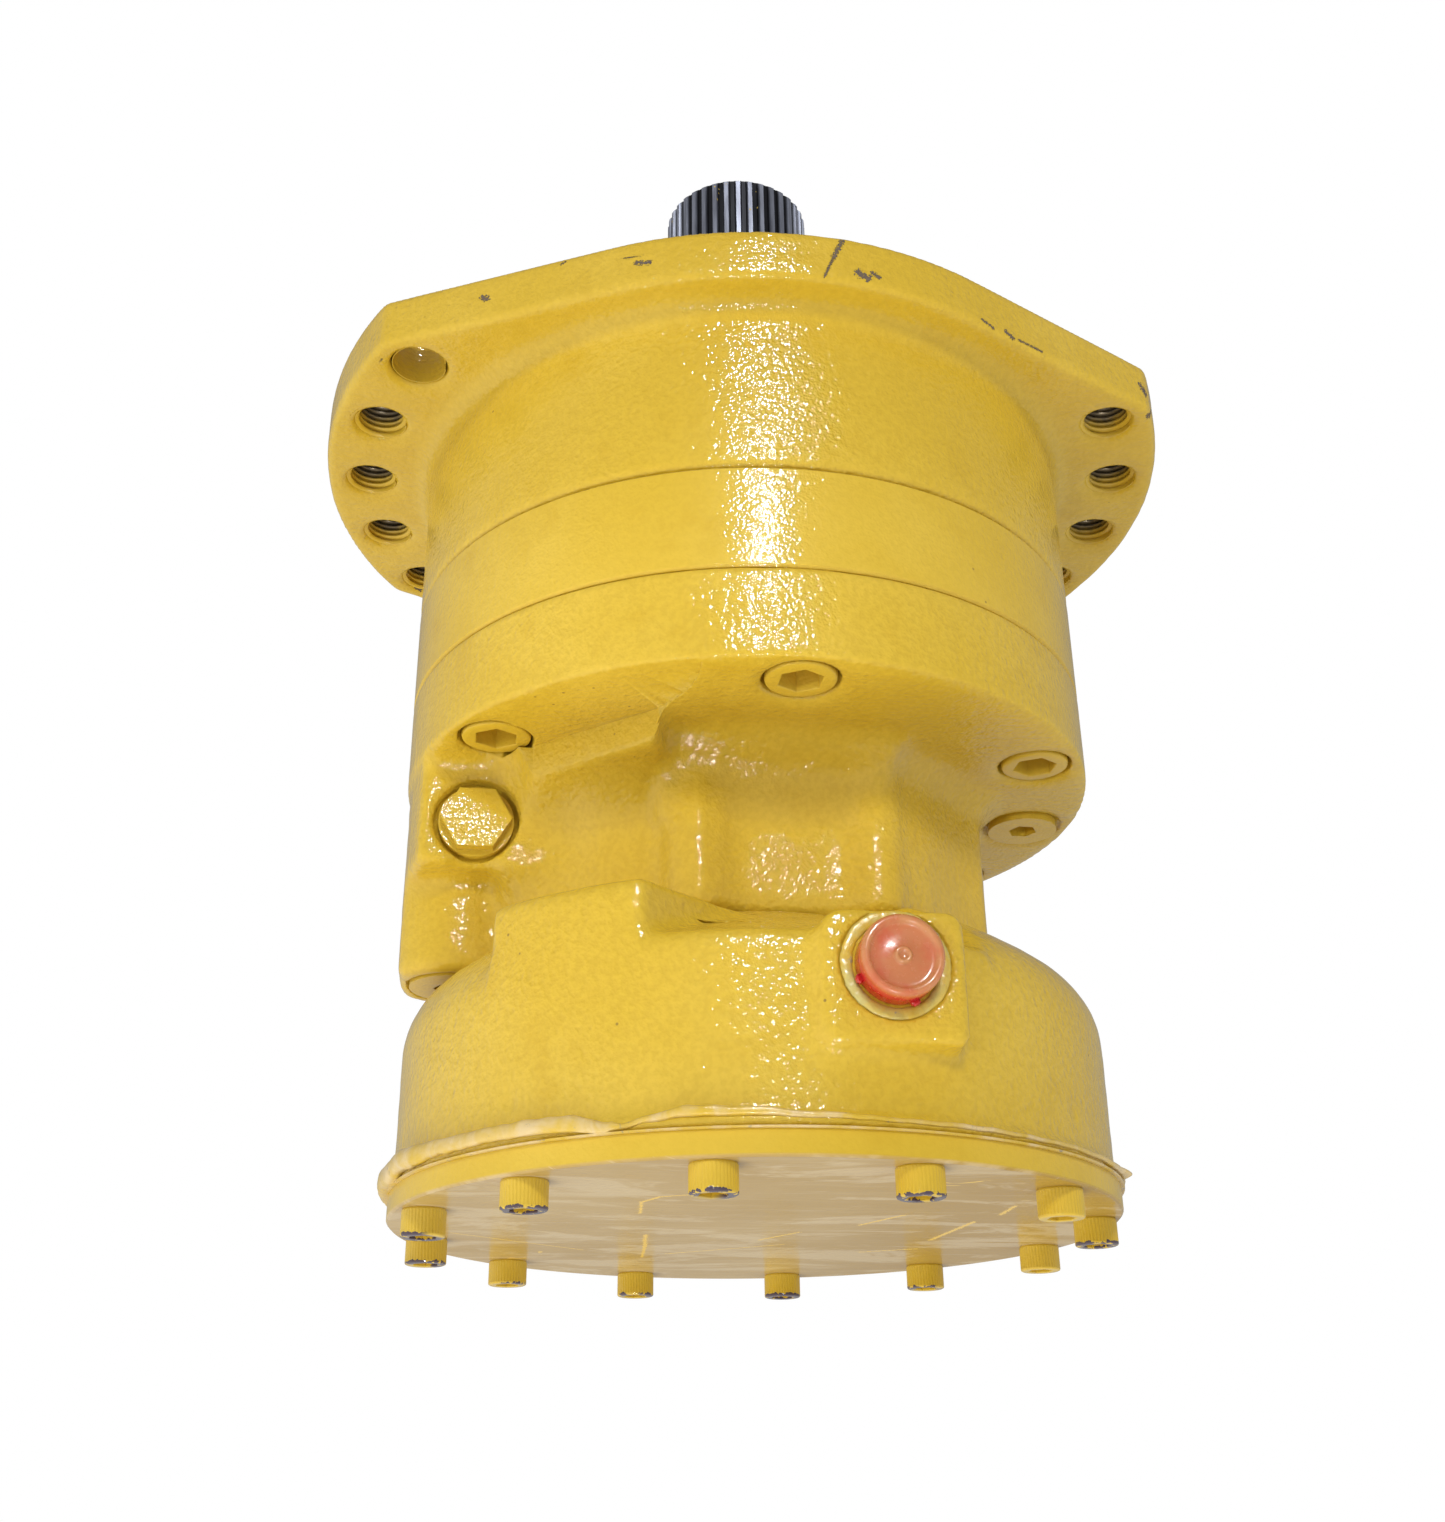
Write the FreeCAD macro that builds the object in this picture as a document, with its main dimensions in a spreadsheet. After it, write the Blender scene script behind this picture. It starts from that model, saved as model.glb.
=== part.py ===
"""Radial piston wheel motor with a splined output shaft and a spring-applied disc brake.

The axis is +Z.  The origin is on the axis, in the upper face of the mounting flange, with the
shaft pointing up and the brake hanging below.  +X runs through the ears of the flange.
All sizes are millimetres.
"""
import FreeCAD, Part

import math
import os
import re

import Sketcher

Vector = FreeCAD.Vector

SIZES = {
    # casing stack: radii, and depths measured down from the flange face
    "ring_radius": 160, "edge_break": 1.2, "flange_thick": 26, "root_fillet": 10,
    "support_depth": 109.4, "cam_depth": 157.5, "face_depth": 200, "neck_depth": 276,
    "block_depth": 248, "column_depth": 289, "drum_depth": 382.4, "gasket_thick": 0.8,
    "plate_depth": 393, "drum_radius": 154, "plate_radius": 156, "flush_radius": 158.5,
    "foot_rim_radius": 156.3, "foot_rim_top": 378.4,
    # mounting flange
    "ear_radius": 211.5, "ear_angle": 31.2, "waist_radius": 179.4, "waist_angle": 63.2,
    "ear_corner": 6, "hole_circle": 190, "hole_step": 15, "hole_radius": 13,
    "thread_radius": 12, "spotface_radius": 19, "spotface_deep": 0.5,
    "spigot_radius": 120, "spigot_height": 12, "nose_radius": 86, "nose_height": 55,
    # bearings, seal and nut
    "front_cup_radius": 72.5, "front_bore_radius": 47.5, "front_seat": -10, "front_width": 39,
    "rear_cup_radius": 85, "rear_bore_radius": 55, "rear_seat": -50, "rear_width": 47,
    "front_circle": 60, "rear_circle": 70, "front_roller": 6, "rear_roller": 7.5,
    "front_roller_long": 26, "rear_roller_long": 32, "roller_tilt": 12, "seat_gap": 0.05,
    "middle_radius": 64, "seal_journal": 45, "nut_radius": 62, "cavity_radius": 104,
    # output shaft
    "shaft_top": 163.7, "spline_tip": 38.8, "spline_root": 36.6, "spline_foot": 84,
    "end_thread_radius": 10, "end_thread_deep": 42, "drive_tip": 45, "drive_root": 42.5,
    "shaft_foot": 152, "quill_tip": 26, "quill_root": 23.8,
    # cam, cylinder block, pistons and cam rollers
    "cam_mean": 111, "cam_lift": 6, "block_radius": 99, "block_top": 110.5, "block_foot": 155.5,
    "cylinder_radius": 19.5, "piston_gap": 0.03, "cylinder_floor": 57, "piston_inner": 58.6,
    "piston_outer": 95, "cam_roller_radius": 13, "cam_roller_long": 28, "cam_roller_circle": 90.5,
    "mid_depth": 133.45, "port_circle": 62, "port_radius": 4.5,
    # large casing screws and dowels
    "screw_circle": 139.4, "screw_radius": 10, "screw_clear": 10.5, "screw_head": 15,
    "screw_head_tall": 20, "screw_seat": 21, "counterbore": 16.5, "dowel_radius": 6,
    # distributor
    "valve_one": 68, "valve_two": 64, "valve_three": 60, "valve_bore": 34, "valve_foot": 206,
    "chamber_foot": 212, "shaft_hole": 30,
    # brake
    "ceiling_depth": 300, "upper_bore": 108, "lower_bore": 128, "step_depth": 340,
    "layer_thick": 2.5, "layer_pitch": 2.55, "disc_outer": 104.5, "plate_inner": 53,
    "hub_tip": 50, "hub_root": 47.5, "lug_reach": 111.8, "lug_width": 11.8,
    "piston_top": 328.2, "piston_step": 345, "piston_foot": 360, "piston_hole": 30,
    "inner_screw_circle": 62, "inner_screw_radius": 7, "inner_screw_head": 10.5,
    # cover plate screws
    "cover_circle": 144.5, "cover_screw": 6, "cover_head": 9, "cover_head_tall": 11,
    # ports and plugs
    "port_face": 160, "cap_x": 27.6, "cap_z": -323.6, "cap_radius": 15.8, "cap_proud": 12,
    "plug_x": -127.5, "plug_z": -227.3, "plug_face": 47, "plug_counterbore": 18.85,
    "drain_x": 136.8, "column_x": -133, "column_y": 3, "column_radius": 30,
    "main_port_x": 38, "main_port_z": -238, "main_port_radius": 12.7, "main_port_face": 118,
    "flange_half_x": 13.9, "flange_half_z": 28.6, "port_plug": 10.4,
}
SPLINE_TEETH = 37
DRIVE_TEETH = 24
QUILL_TEETH = 20
HUB_TEETH = 32
CAM_LOBES = 6
PISTONS = 8
BEARING_ROLLERS = 20
FRICTION_DISCS = 5
SCREW_ANGLES = (-150, -90, -30, 30, 90, 150)
DOWEL_ANGLES = (60, 240)
RECESS_ARC = (-97, -146, 55)

doc = FreeCAD.newDocument("wheel_motor")
sheet = doc.addObject("Spreadsheet::Sheet", "sizes")
for row, (alias, size) in enumerate(SIZES.items(), 1):
    sheet.set(f"A{row}", alias)
    sheet.set(f"B{row}", str(size))
    sheet.setAlias(f"B{row}", alias)
doc.recompute()

nodes = {}


def bound(text):
    """A size written with the sheet's aliases, as an expression on the sheet."""
    return re.sub(
        r"[a-z_]+", lambda word: "sizes." + word[0] if word[0] in SIZES else word[0], str(text)
    )


def value(text):
    """The number that a size works out to."""
    result = sheet.evalExpression(bound(text))
    return float(getattr(result, "Value", result))


def bind(item, prop, text):
    item.setExpression(prop, bound(text))


def node(name, item):
    """Record a finished piece under the name that its file takes."""
    item.Label = name
    nodes[name] = item
    return item


def place(item, x=0, y=0, z=0, along=(0, 0, 1), turn=0):
    """Put an item's own Z along a direction, turned about it, with its base at x, y, z."""
    aim = FreeCAD.Rotation(Vector(0, 0, 1), Vector(*along))
    item.Placement = FreeCAD.Placement(Vector(), aim * FreeCAD.Rotation(Vector(0, 0, 1), turn))
    for letter, text in zip("xyz", (x, y, z)):
        bind(item, f"Placement.Base.{letter}", text)
    return item


def polar(radius, degrees):
    """Expressions for a point on a circle about the axis."""
    return f"({radius}) * cos({degrees})", f"({radius}) * sin({degrees})"


def heading(degrees):
    return (math.cos(math.radians(degrees)), math.sin(math.radians(degrees)), 0)


def cylinder(name, radius, height, x=0, y=0, z=0, along=(0, 0, 1)):
    item = doc.addObject("Part::Cylinder", name)
    bind(item, "Radius", radius)
    bind(item, "Height", height)
    return place(item, x, y, z, along)


def box(name, length, width, height, x=0, y=0, z=0):
    item = doc.addObject("Part::Box", name)
    bind(item, "Length", length)
    bind(item, "Width", width)
    bind(item, "Height", height)
    return place(item, x, y, z)


def hexagon(name, across_flats, height, x=0, y=0, z=0, along=(0, 0, 1), turn=0):
    item = doc.addObject("Part::Prism", name)
    item.Polygon = 6
    bind(item, "Circumradius", f"({across_flats}) / 2 / cos(30)")
    bind(item, "Height", height)
    return place(item, x, y, z, along, turn)


def turned_box(name, length, width, height, corner, degrees):
    """A box turned about the axis together with its corner."""
    item = doc.addObject("Part::Box", name)
    bind(item, "Length", length)
    bind(item, "Width", width)
    bind(item, "Height", height)
    turn = FreeCAD.Rotation(Vector(0, 0, 1), degrees)
    spot = turn.multVec(Vector(*[value(part) for part in corner]))
    item.Placement = FreeCAD.Placement(spot, turn)
    return item


def ring_seal(name, radius, thickness, z):
    item = doc.addObject("Part::Torus", name)
    bind(item, "Radius1", radius)
    bind(item, "Radius2", thickness)
    return place(item, z=z)


def fuse(name, *pieces):
    item = doc.addObject("Part::MultiFuse", name)
    item.Shapes = list(pieces)
    return item


def group(name, *pieces):
    """Separate solids kept as one piece of the list."""
    item = doc.addObject("Part::Compound", name)
    item.Links = list(pieces)
    return item


def cut(name, base, *tools):
    item = doc.addObject("Part::Cut", name)
    item.Base = base
    item.Tool = tools[0] if len(tools) == 1 else fuse(name + "_tools", *tools)
    return item


def common(name, first, second):
    item = doc.addObject("Part::Common", name)
    item.Base = first
    item.Tool = second
    return item


def add_outline(sketch, corners):
    """Draw a closed outline and bind every corner to the sheet.

    A corner is (x, y), or (x, y, radius, side) when an arc leads to the next corner:
    side is 1 for an arc that turns left and -1 for one that turns right."""
    spots = [Vector(value(corner[0]), value(corner[1]), 0) for corner in corners]
    ends = []
    radii = []
    for index, corner in enumerate(corners):
        start, end = spots[index], spots[(index + 1) % len(spots)]
        if len(corner) == 2:
            sketch.addGeometry(Part.LineSegment(start, end), False)
            ends.append((1, 2))
            continue
        radius, side = value(corner[2]), corner[3]
        chord = end - start
        left = Vector(-chord.y, chord.x, 0).normalize()
        sag = radius - math.sqrt(max(radius**2 - chord.Length**2 / 4, 0))
        middle = (start + end) * 0.5 - left * (sag * side)
        first, last = (start, end) if side > 0 else (end, start)
        sketch.addGeometry(Part.Arc(first, middle, last), False)
        ends.append((1, 2) if side > 0 else (2, 1))
        radii.append((index, corner[2]))
    rules = []
    formulas = []
    for index, (x, y) in enumerate(corner[:2] for corner in corners):
        following = (index + 1) % len(corners)
        start = ends[index][0]
        rules.append(
            Sketcher.Constraint("Coincident", index, ends[index][1], following, ends[following][0])
        )
        formulas.append((len(rules), x))
        rules.append(Sketcher.Constraint("DistanceX", -1, 1, index, start, spots[index].x))
        formulas.append((len(rules), y))
        rules.append(Sketcher.Constraint("DistanceY", -1, 1, index, start, spots[index].y))
    for index, radius in radii:
        formulas.append((len(rules), radius))
        rules.append(Sketcher.Constraint("Radius", index, value(radius)))
    sketch.addConstraint(rules)
    for number, text in formulas:
        bind(sketch, f"Constraints[{number}]", text)


def sketch_on(body, plane, offset="0"):
    sketch = body.newObject("Sketcher::SketchObject", body.Name + "_outline")
    origin = next(item for item in body.Origin.OriginFeatures if item.Role == plane)
    sketch.AttachmentSupport = [(origin, "")]
    sketch.MapMode = "FlatFace"
    bind(sketch, "AttachmentOffset.Base.z", offset)
    return sketch


def turned(name, corners, sweep=360, start=0):
    """A turned piece from its half section, given as (radius, height) corners."""
    body = doc.addObject("PartDesign::Body", name)
    sketch = sketch_on(body, "XZ_Plane")
    add_outline(sketch, corners)
    feature = body.newObject("PartDesign::Revolution", name + "_turned")
    feature.Profile = sketch
    feature.ReferenceAxis = (sketch, ["V_Axis"])
    feature.Angle = sweep
    if start:
        body.Placement = FreeCAD.Placement(Vector(), FreeCAD.Rotation(Vector(0, 0, 1), start))
    return body


def prism(name, corners, foot, height, plane="XY_Plane"):
    """A straight-sided piece: an outline drawn at a height and padded."""
    body = doc.addObject("PartDesign::Body", name)
    sketch = sketch_on(body, plane, foot)
    add_outline(sketch, corners)
    feature = body.newObject("PartDesign::Pad", name + "_pad")
    feature.Profile = sketch
    bind(feature, "Length", height)
    return body


def tube(name, inner, outer, foot, height):
    return turned(
        name,
        [(inner, foot), (outer, foot), (outer, f"{foot} + {height}"), (inner, f"{foot} + {height}")],
    )


def polar_point(radius, degrees):
    return Vector(*heading(degrees)) * radius


def toothed(name, teeth, root, tip, foot, height, growth=0):
    """A toothed bar about the axis, with straight flanks.  growth swells it for a socket."""
    low, high = value(root) + growth, value(tip) + growth * value(tip) / value(root)
    step = 360 / teeth
    profile = ((-0.33, low), (-0.17, high), (0.17, high), (0.33, low))
    corners = [
        polar_point(radius, (tooth + share) * step)
        for tooth in range(teeth)
        for share, radius in profile
    ]
    face = Part.Face(Part.makePolygon(corners + corners[:1]))
    item = doc.addObject("Part::Feature", name)
    item.Shape = face.extrude(Vector(0, 0, value(height)))
    return place(item, z=foot)


# ---- bearing support: the flange casting that carries the shaft -----------------------------


def ear(side_x, side_y):
    return (f"{side_x} * ear_radius * cos(ear_angle)", f"{side_y} * ear_radius * sin(ear_angle)")


def waist(side_x, side_y):
    return (
        f"{side_x} * waist_radius * cos(waist_angle)",
        f"{side_y} * waist_radius * sin(waist_angle)",
    )


def mounting_flange():
    """Two ears on a round waist; the arcs are about the axis and the ear corners rounded."""
    body = prism(
        "mounting_flange",
        [
            (*ear(1, -1), "ear_radius", 1), ear(1, 1),
            (*waist(1, 1), "waist_radius", 1), waist(-1, 1),
            (*ear(-1, 1), "ear_radius", 1), ear(-1, -1),
            (*waist(-1, -1), "waist_radius", 1), waist(1, -1),
        ],
        "-flange_thick",
        "flange_thick",
    )
    doc.recompute()
    pad = body.Tip
    corner_x = value("ear_radius * cos(ear_angle)")
    upright = [
        f"Edge{number}"
        for number, edge in enumerate(pad.Shape.Edges, 1)
        if abs(edge.BoundBox.ZLength - value("flange_thick")) < 0.01
        and abs(abs(edge.BoundBox.Center.x) - corner_x) < 0.01
    ]
    fillet = body.newObject("PartDesign::Fillet", "ear_corners")
    fillet.Base = (pad, upright)
    bind(fillet, "Radius", "ear_corner")
    return body


def flange_holes():
    """Five holes on each ear.  One is a plain clearance hole; the others are tapped, with a
    countersink as wide as the clearance hole.  Each has a shallow spotface underneath."""
    tools = []
    for ear_side in (0, 180):
        for step in range(-2, 3):
            degrees = f"{ear_side} + {step} * hole_step"
            x, y = polar("hole_circle", degrees)
            plain = ear_side == 180 and step == 2
            name = f"flange_hole_{ear_side}_{step + 2}"
            radius = "hole_radius" if plain else "thread_radius"
            tools.append(cylinder(name, radius, "flange_thick + 2", x, y, "-flange_thick - 1"))
            tools.append(
                cylinder(
                    name + "_spotface", "spotface_radius", "1 + spotface_deep", x, y,
                    "-flange_thick - 1",
                )
            )
            if not plain:
                mouth = doc.addObject("Part::Cone", name + "_mouth")
                bind(mouth, "Radius1", "hole_radius")
                bind(mouth, "Radius2", "thread_radius")
                bind(mouth, "Height", "hole_radius - thread_radius")
                tools.append(place(mouth, x, y, "-flange_thick + spotface_deep"))
    return tools


def screw_holes(name, radius, foot, height, angles=SCREW_ANGLES):
    return [
        cylinder(f"{name}_{degrees % 360}", radius, height, *polar("screw_circle", degrees), foot)
        for degrees in angles
    ]


def bearing_support():
    shell = turned(
        "support_shell",
        [
            (0, "-support_depth"), ("ring_radius - edge_break", "-support_depth"),
            ("ring_radius", "-support_depth + edge_break"),
            ("ring_radius", "-flange_thick - root_fillet", "root_fillet", -1),
            ("ring_radius + root_fillet", "-flange_thick"), ("ring_radius + root_fillet", 0),
            ("spigot_radius", 0), ("spigot_radius", "spigot_height - edge_break"),
            ("spigot_radius - edge_break", "spigot_height"), ("nose_radius", "spigot_height"),
            ("nose_radius", "nose_height - 3"), ("nose_radius - 3", "nose_height"),
            (0, "nose_height"),
        ],
    )
    bore = turned(
        "support_bore",
        [
            (0, "nose_height + 1"), ("front_cup_radius", "nose_height + 1"),
            ("front_cup_radius", 52.5), ("front_cup_radius + 2.5", 52.5),
            ("front_cup_radius + 2.5", 50), ("front_cup_radius", 50),
            ("front_cup_radius", "front_seat"), ("middle_radius", "front_seat"),
            ("middle_radius", "rear_seat"), ("rear_cup_radius", "rear_seat"),
            ("rear_cup_radius", -100), ("cavity_radius", -100),
            ("cavity_radius", "-support_depth - 1"), (0, "-support_depth - 1"),
        ],
    )
    outward = heading(120)
    case_port = [
        cylinder("case_port_bore", "port_plug", 30, *polar(135, 120), -88, outward),
        cylinder("case_port_seat", 16, 20, *polar("ring_radius - 6", 120), -88, outward),
        cylinder("case_port_way", 4, 50, *polar(94, 120), -88, outward),
        cylinder("case_port_drop", 4, 16, *polar(96, 120), -102),
    ]
    return cut(
        "support_casting",
        fuse("support_blank", shell, mounting_flange()),
        bore,
        *flange_holes(),
        *screw_holes("support_tap", "screw_radius + seat_gap", "-support_depth - 1", 50),
        *screw_holes("support_dowel", "dowel_radius + seat_gap", "-support_depth - 1", 13,
                     DOWEL_ANGLES),
        *case_port,
    )


# ---- cam ring --------------------------------------------------------------------------------


def cam_void():
    """The hollow of the cam: a circle whose radius rises and falls once for every lobe."""
    mean, lift = value("cam_mean"), value("cam_lift")
    spots = [
        polar_point(mean + lift * math.cos(math.radians(CAM_LOBES * degrees)), degrees)
        for degrees in range(0, 360, 5)
    ]
    track = Part.BSplineCurve()
    track.interpolate(Points=spots, PeriodicFlag=True)
    face = Part.Face(Part.Wire(track.toShape()))
    item = doc.addObject("Part::Feature", "cam_void")
    item.Shape = face.extrude(Vector(0, 0, value("cam_depth - support_depth") + 2))
    return place(item, z="-cam_depth - 1")


def cam_ring():
    blank = turned(
        "cam_blank",
        [
            (0, "-cam_depth"), ("ring_radius - edge_break", "-cam_depth"),
            ("ring_radius", "-cam_depth + edge_break"),
            ("ring_radius", "-support_depth - edge_break"),
            ("ring_radius - edge_break", "-support_depth"), (0, "-support_depth"),
        ],
    )
    grooves = [
        tube("cam_groove_top", 120.5, 124.5, "-support_depth - 3", 4),
        tube("cam_groove_foot", 120.5, 124.5, "-cam_depth - 1", 4),
    ]
    return cut(
        "cam_ring_solid",
        blank,
        cam_void(),
        *grooves,
        *screw_holes("cam_hole", "screw_clear", "-cam_depth - 1", 52),
        *screw_holes("cam_dowel", "dowel_radius + seat_gap", "-cam_depth - 1", 52, DOWEL_ANGLES),
    )


# ---- distribution cover: lower ring, neck, port blocks ----------------------------------------


def neck_pieces():
    """The cast neck between the ring and the brake, with its ribs, blocks and lip."""
    top = "-face_depth + 1"
    core = prism(
        "neck_core",
        [
            (-38, -76), (48, -76), (60, -73), (69, -66), (88, -47), (104, -34, 111, 1),
            (104, 34), (78, 62), (78, "main_port_face"), (-78, "main_port_face"),
            (-78, 62), (-104, 34), (-104, -36), (-75, -59), (-48, -70),
        ],
        "-neck_depth",
        "neck_depth - face_depth + 1",
    )
    lip = prism(
        "neck_lip",
        [
            (-76, top), (-92, top), (-92, "-face_depth - 7", 22, -1), (-80, "-face_depth - 24"),
            (-76, "-face_depth - 34"), (-60, "-face_depth - 34"), (-60, top),
        ],
        "-52",
        "102",
        "YZ_Plane",
    )
    foot_pad = prism(
        "neck_foot_pad",
        [(-54, -108.5), (-50, -92), (-50, -60), (-100, -30), (-112, -47), (-104, -64.5)],
        "-face_depth - 14",
        "15",
    )
    side_block = prism(
        "side_block",
        [
            (-90, "-plug_face"),
            ("-sqrt(flush_radius ^ 2 - plug_face ^ 2)", "-plug_face", "flush_radius", -1),
            ("-sqrt(flush_radius ^ 2 - plug_face ^ 2)", "plug_face"), (-90, "plug_face"),
        ],
        "-block_depth",
        "block_depth - face_depth + 1",
    )
    column = common(
        "column_boss",
        cylinder("column_bar", "column_radius", "column_depth - face_depth", "column_x",
                 "column_y", "-column_depth"),
        cylinder("column_limit", "flush_radius", "column_depth - face_depth + 2", 0, 0,
                 "-column_depth - 1"),
    )
    web = box("column_web", 40, 50, "neck_depth - face_depth", "column_x", -22, "-neck_depth")
    ribs = [
        cylinder("rib_left", 15.25, "neck_depth - face_depth", -33.75, -69, "-neck_depth"),
        cylinder("rib_right", 13, "neck_depth - face_depth", 44, -71, "-neck_depth"),
    ]
    return [core, lip, foot_pad, side_block, column, web, *ribs]


def main_ports():
    """Two flanged ports side by side on the back of the neck, each with four tapped holes."""
    tools = []
    for side in (-1, 1):
        centre = f"{side} * main_port_x"
        tools.append(
            cylinder(f"main_port_{side}", "main_port_radius", 52, centre,
                     "main_port_face - 50", "main_port_z", (0, 1, 0))
        )
        for number, (x, z) in enumerate(((-1, -1), (-1, 1), (1, -1), (1, 1))):
            tools.append(
                cylinder(
                    f"main_port_tap_{side}_{number}", 6, 24,
                    f"{centre} + {x} * flange_half_x", "main_port_face - 22",
                    f"main_port_z + {z} * flange_half_z", (0, 1, 0),
                )
            )
    return tools


def machined_recess():
    """A shallow milled patch on the ring's lower face, at its left front."""
    x, y, radius = RECESS_ARC
    round_end = cylinder("recess_round", radius, 2, x, y, "-face_depth - 1.2")
    strip = prism(
        "recess_strip", [(-54, -109), (-104.5, -65), (-165, -65), (-165, -150), (-97, -150)],
        "-face_depth - 1.2", "2",
    )
    return [round_end, strip]


def distribution_cover():
    disc = turned(
        "cover_disc",
        [
            (0, "-cam_depth"), (0, "-face_depth"), ("ring_radius - 2.5", "-face_depth", 2.5, 1),
            ("ring_radius", "-face_depth + 2.5"), ("ring_radius", "-cam_depth - edge_break"),
            ("ring_radius - edge_break", "-cam_depth"),
        ],
    )
    chamber = turned(
        "valve_chamber",
        [
            (0, "-cam_depth + 1"), ("valve_one + seat_gap", "-cam_depth + 1"),
            ("valve_one + seat_gap", -172), ("valve_two + seat_gap", -172),
            ("valve_two + seat_gap", -186), ("valve_three + seat_gap", -186),
            ("valve_three + seat_gap", "-chamber_foot"), ("shaft_hole", "-chamber_foot"),
            ("shaft_hole", "-neck_depth - 1"), (0, "-neck_depth - 1"),
        ],
    )
    down = (0, 0, 1)
    ports = [
        cylinder("drain_seat", 19, 5, "drain_x", 0, "-face_depth - 2", down),
        cylinder("drain_bore", "port_plug", 20, "drain_x", 0, "-face_depth", down),
        cylinder("column_seat", 22, 4, "column_x", "column_y", "-column_depth - 1", down),
        cylinder("column_bore", 15, 24, "column_x", "column_y", "-column_depth", down),
        cylinder("spool_seat", "plug_counterbore", 8, "plug_x", "-plug_face - 2", "plug_z",
                 (0, 1, 0)),
        cylinder("spool_thread", 11, 24, "plug_x", "-plug_face", "plug_z", (0, 1, 0)),
        cylinder("spool_bore", 8, 66, "plug_x", "-plug_face", "plug_z", (0, 1, 0)),
    ]
    inner_taps = [
        cylinder(f"cover_tap_{number}", "inner_screw_radius + seat_gap", 27,
                 *polar("inner_screw_circle", 45 * number + 22.5), "-neck_depth - 1")
        for number in range(8)
    ]
    milled = cut("cover_disc_milled", disc, *machined_recess())
    return cut(
        "cover_casting",
        fuse("cover_blank", milled, *neck_pieces()),
        chamber,
        *ports,
        *inner_taps,
        *main_ports(),
        *screw_holes("cover_hole", "screw_clear", "-face_depth - 1", 50),
        *screw_holes("cover_counterbore", "counterbore", "-face_depth - 2", "screw_seat + 2"),
        *screw_holes("cover_dowel", "dowel_radius + seat_gap", "-cam_depth - 16", 17,
                     DOWEL_ANGLES),
    )


# ---- brake housing ----------------------------------------------------------------------------


def brake_port_tools():
    """The pressure port in the flat boss, and the drilling from it to the piston chamber."""
    return [
        cylinder("brake_port_seat", 21.5, 3, "cap_x", "-port_face - 2", "cap_z", (0, 1, 0)),
        cylinder("brake_port_bore", 11, 22, "cap_x", "-port_face - 1", "cap_z", (0, 1, 0)),
        cylinder("brake_port_way", 2.5, 26, "cap_x", -142, "cap_z - 4", (0, 0.77, -0.64)),
    ]


def brake_housing():
    drum = turned(
        "drum",
        [
            (0, "-neck_depth"), (0, "-drum_depth"), ("foot_rim_radius", "-drum_depth"),
            ("foot_rim_radius", "-foot_rim_top"), ("drum_radius", "-foot_rim_top + 1.5"),
            ("drum_radius", -326, 34, 1), (138.9, -296.3, 150, 1), (104, "-neck_depth"),
        ],
    )
    # between the shelf and the port boss the drum's top is lower and falls straight outwards
    saddle_cut = turned(
        "saddle_cut", [(79, -270), (79, -275.5), (149, -307.5), (160, -307.5), (160, -270)],
        52, -114.8,
    )
    saddle = turned(
        "drum_saddle",
        [
            (88, -330), ("drum_radius", -330), ("drum_radius", -313, 6, 1), (149, -307.5),
            (101, -286), (88, -280),
        ],
        52,
        -114.8,
    )
    shelf = common(
        "drum_shelf",
        turned(
            "shelf_sector",
            [
                (92, -330), ("drum_radius", -330), ("drum_radius", -289.5, 5, 1), (150, -285),
                (92, -285),
            ],
            41,
            -141,
        ),
        prism(
            "shelf_limit", [(-180, -40), (-180, -160), (-88.4, -160), (-3.3, -89.4), (-3.3, -40)],
            -331, 60,
        ),
    )
    boss = prism(
        "brake_port_boss",
        [
            (0, -348, 5, 1), (5, -353), (51.5, -353, 3, 1), (54.5, -350), (54.5, -308, 6, 1),
            (48.5, -302), (9, -302, 9, 1), (0, -311),
        ],
        "port_face - 34",
        "34",
        "XZ_Plane",
    )
    hollow = turned(
        "brake_hollow",
        [
            (0, "-neck_depth + 1"), (0, "-drum_depth - 1"), ("lower_bore", "-drum_depth - 1"),
            ("lower_bore", "-step_depth"), ("upper_bore", "-step_depth"),
            ("upper_bore", "-ceiling_depth"), (40, "-ceiling_depth"), (40, "-neck_depth + 1"),
        ],
    )
    seal_groove = tube("neck_seal_groove", 43.5, 47.5, "-neck_depth - 2.6", 4)
    scallop = cylinder("column_scallop", "column_radius + 1", 20, "column_x", "column_y",
                       "-column_depth - 3")
    lug_slots = [
        turned_box(f"lug_slot_{number}", "lug_reach + 0.2 - 100", "lug_width + 0.2",
                   "step_depth - ceiling_depth", (100, "-(lug_width + 0.2) / 2", "-step_depth"),
                   45 * number)
        for number in range(8)
    ]
    screws = []
    for number in range(8):
        x, y = polar("inner_screw_circle", 45 * number + 22.5)
        screws.append(
            cylinder(f"ceiling_hole_{number}", "inner_screw_radius + 0.5", 26, x, y,
                     "-ceiling_depth - 1")
        )
        screws.append(
            cylinder(f"ceiling_seat_{number}", "inner_screw_head + 0.5", 15, x, y,
                     "-ceiling_depth - 1")
        )
    taps = [
        cylinder(f"drum_tap_{number}", "cover_screw + seat_gap", 27,
                 *polar("cover_circle", 30 * number + 15), "-drum_depth - 1")
        for number in range(12)
    ]
    return cut(
        "brake_casting",
        fuse("brake_blank", cut("drum_lowered", drum, saddle_cut), saddle, shelf, boss),
        hollow, seal_groove, scallop, *lug_slots, *screws, *taps, *brake_port_tools(),
    )


def plate_hole(number, name, foot, height):
    return cylinder(f"{name}_{number}", "cover_screw + 0.6", height,
                    *polar("cover_circle", 30 * number + 15), foot)


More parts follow.
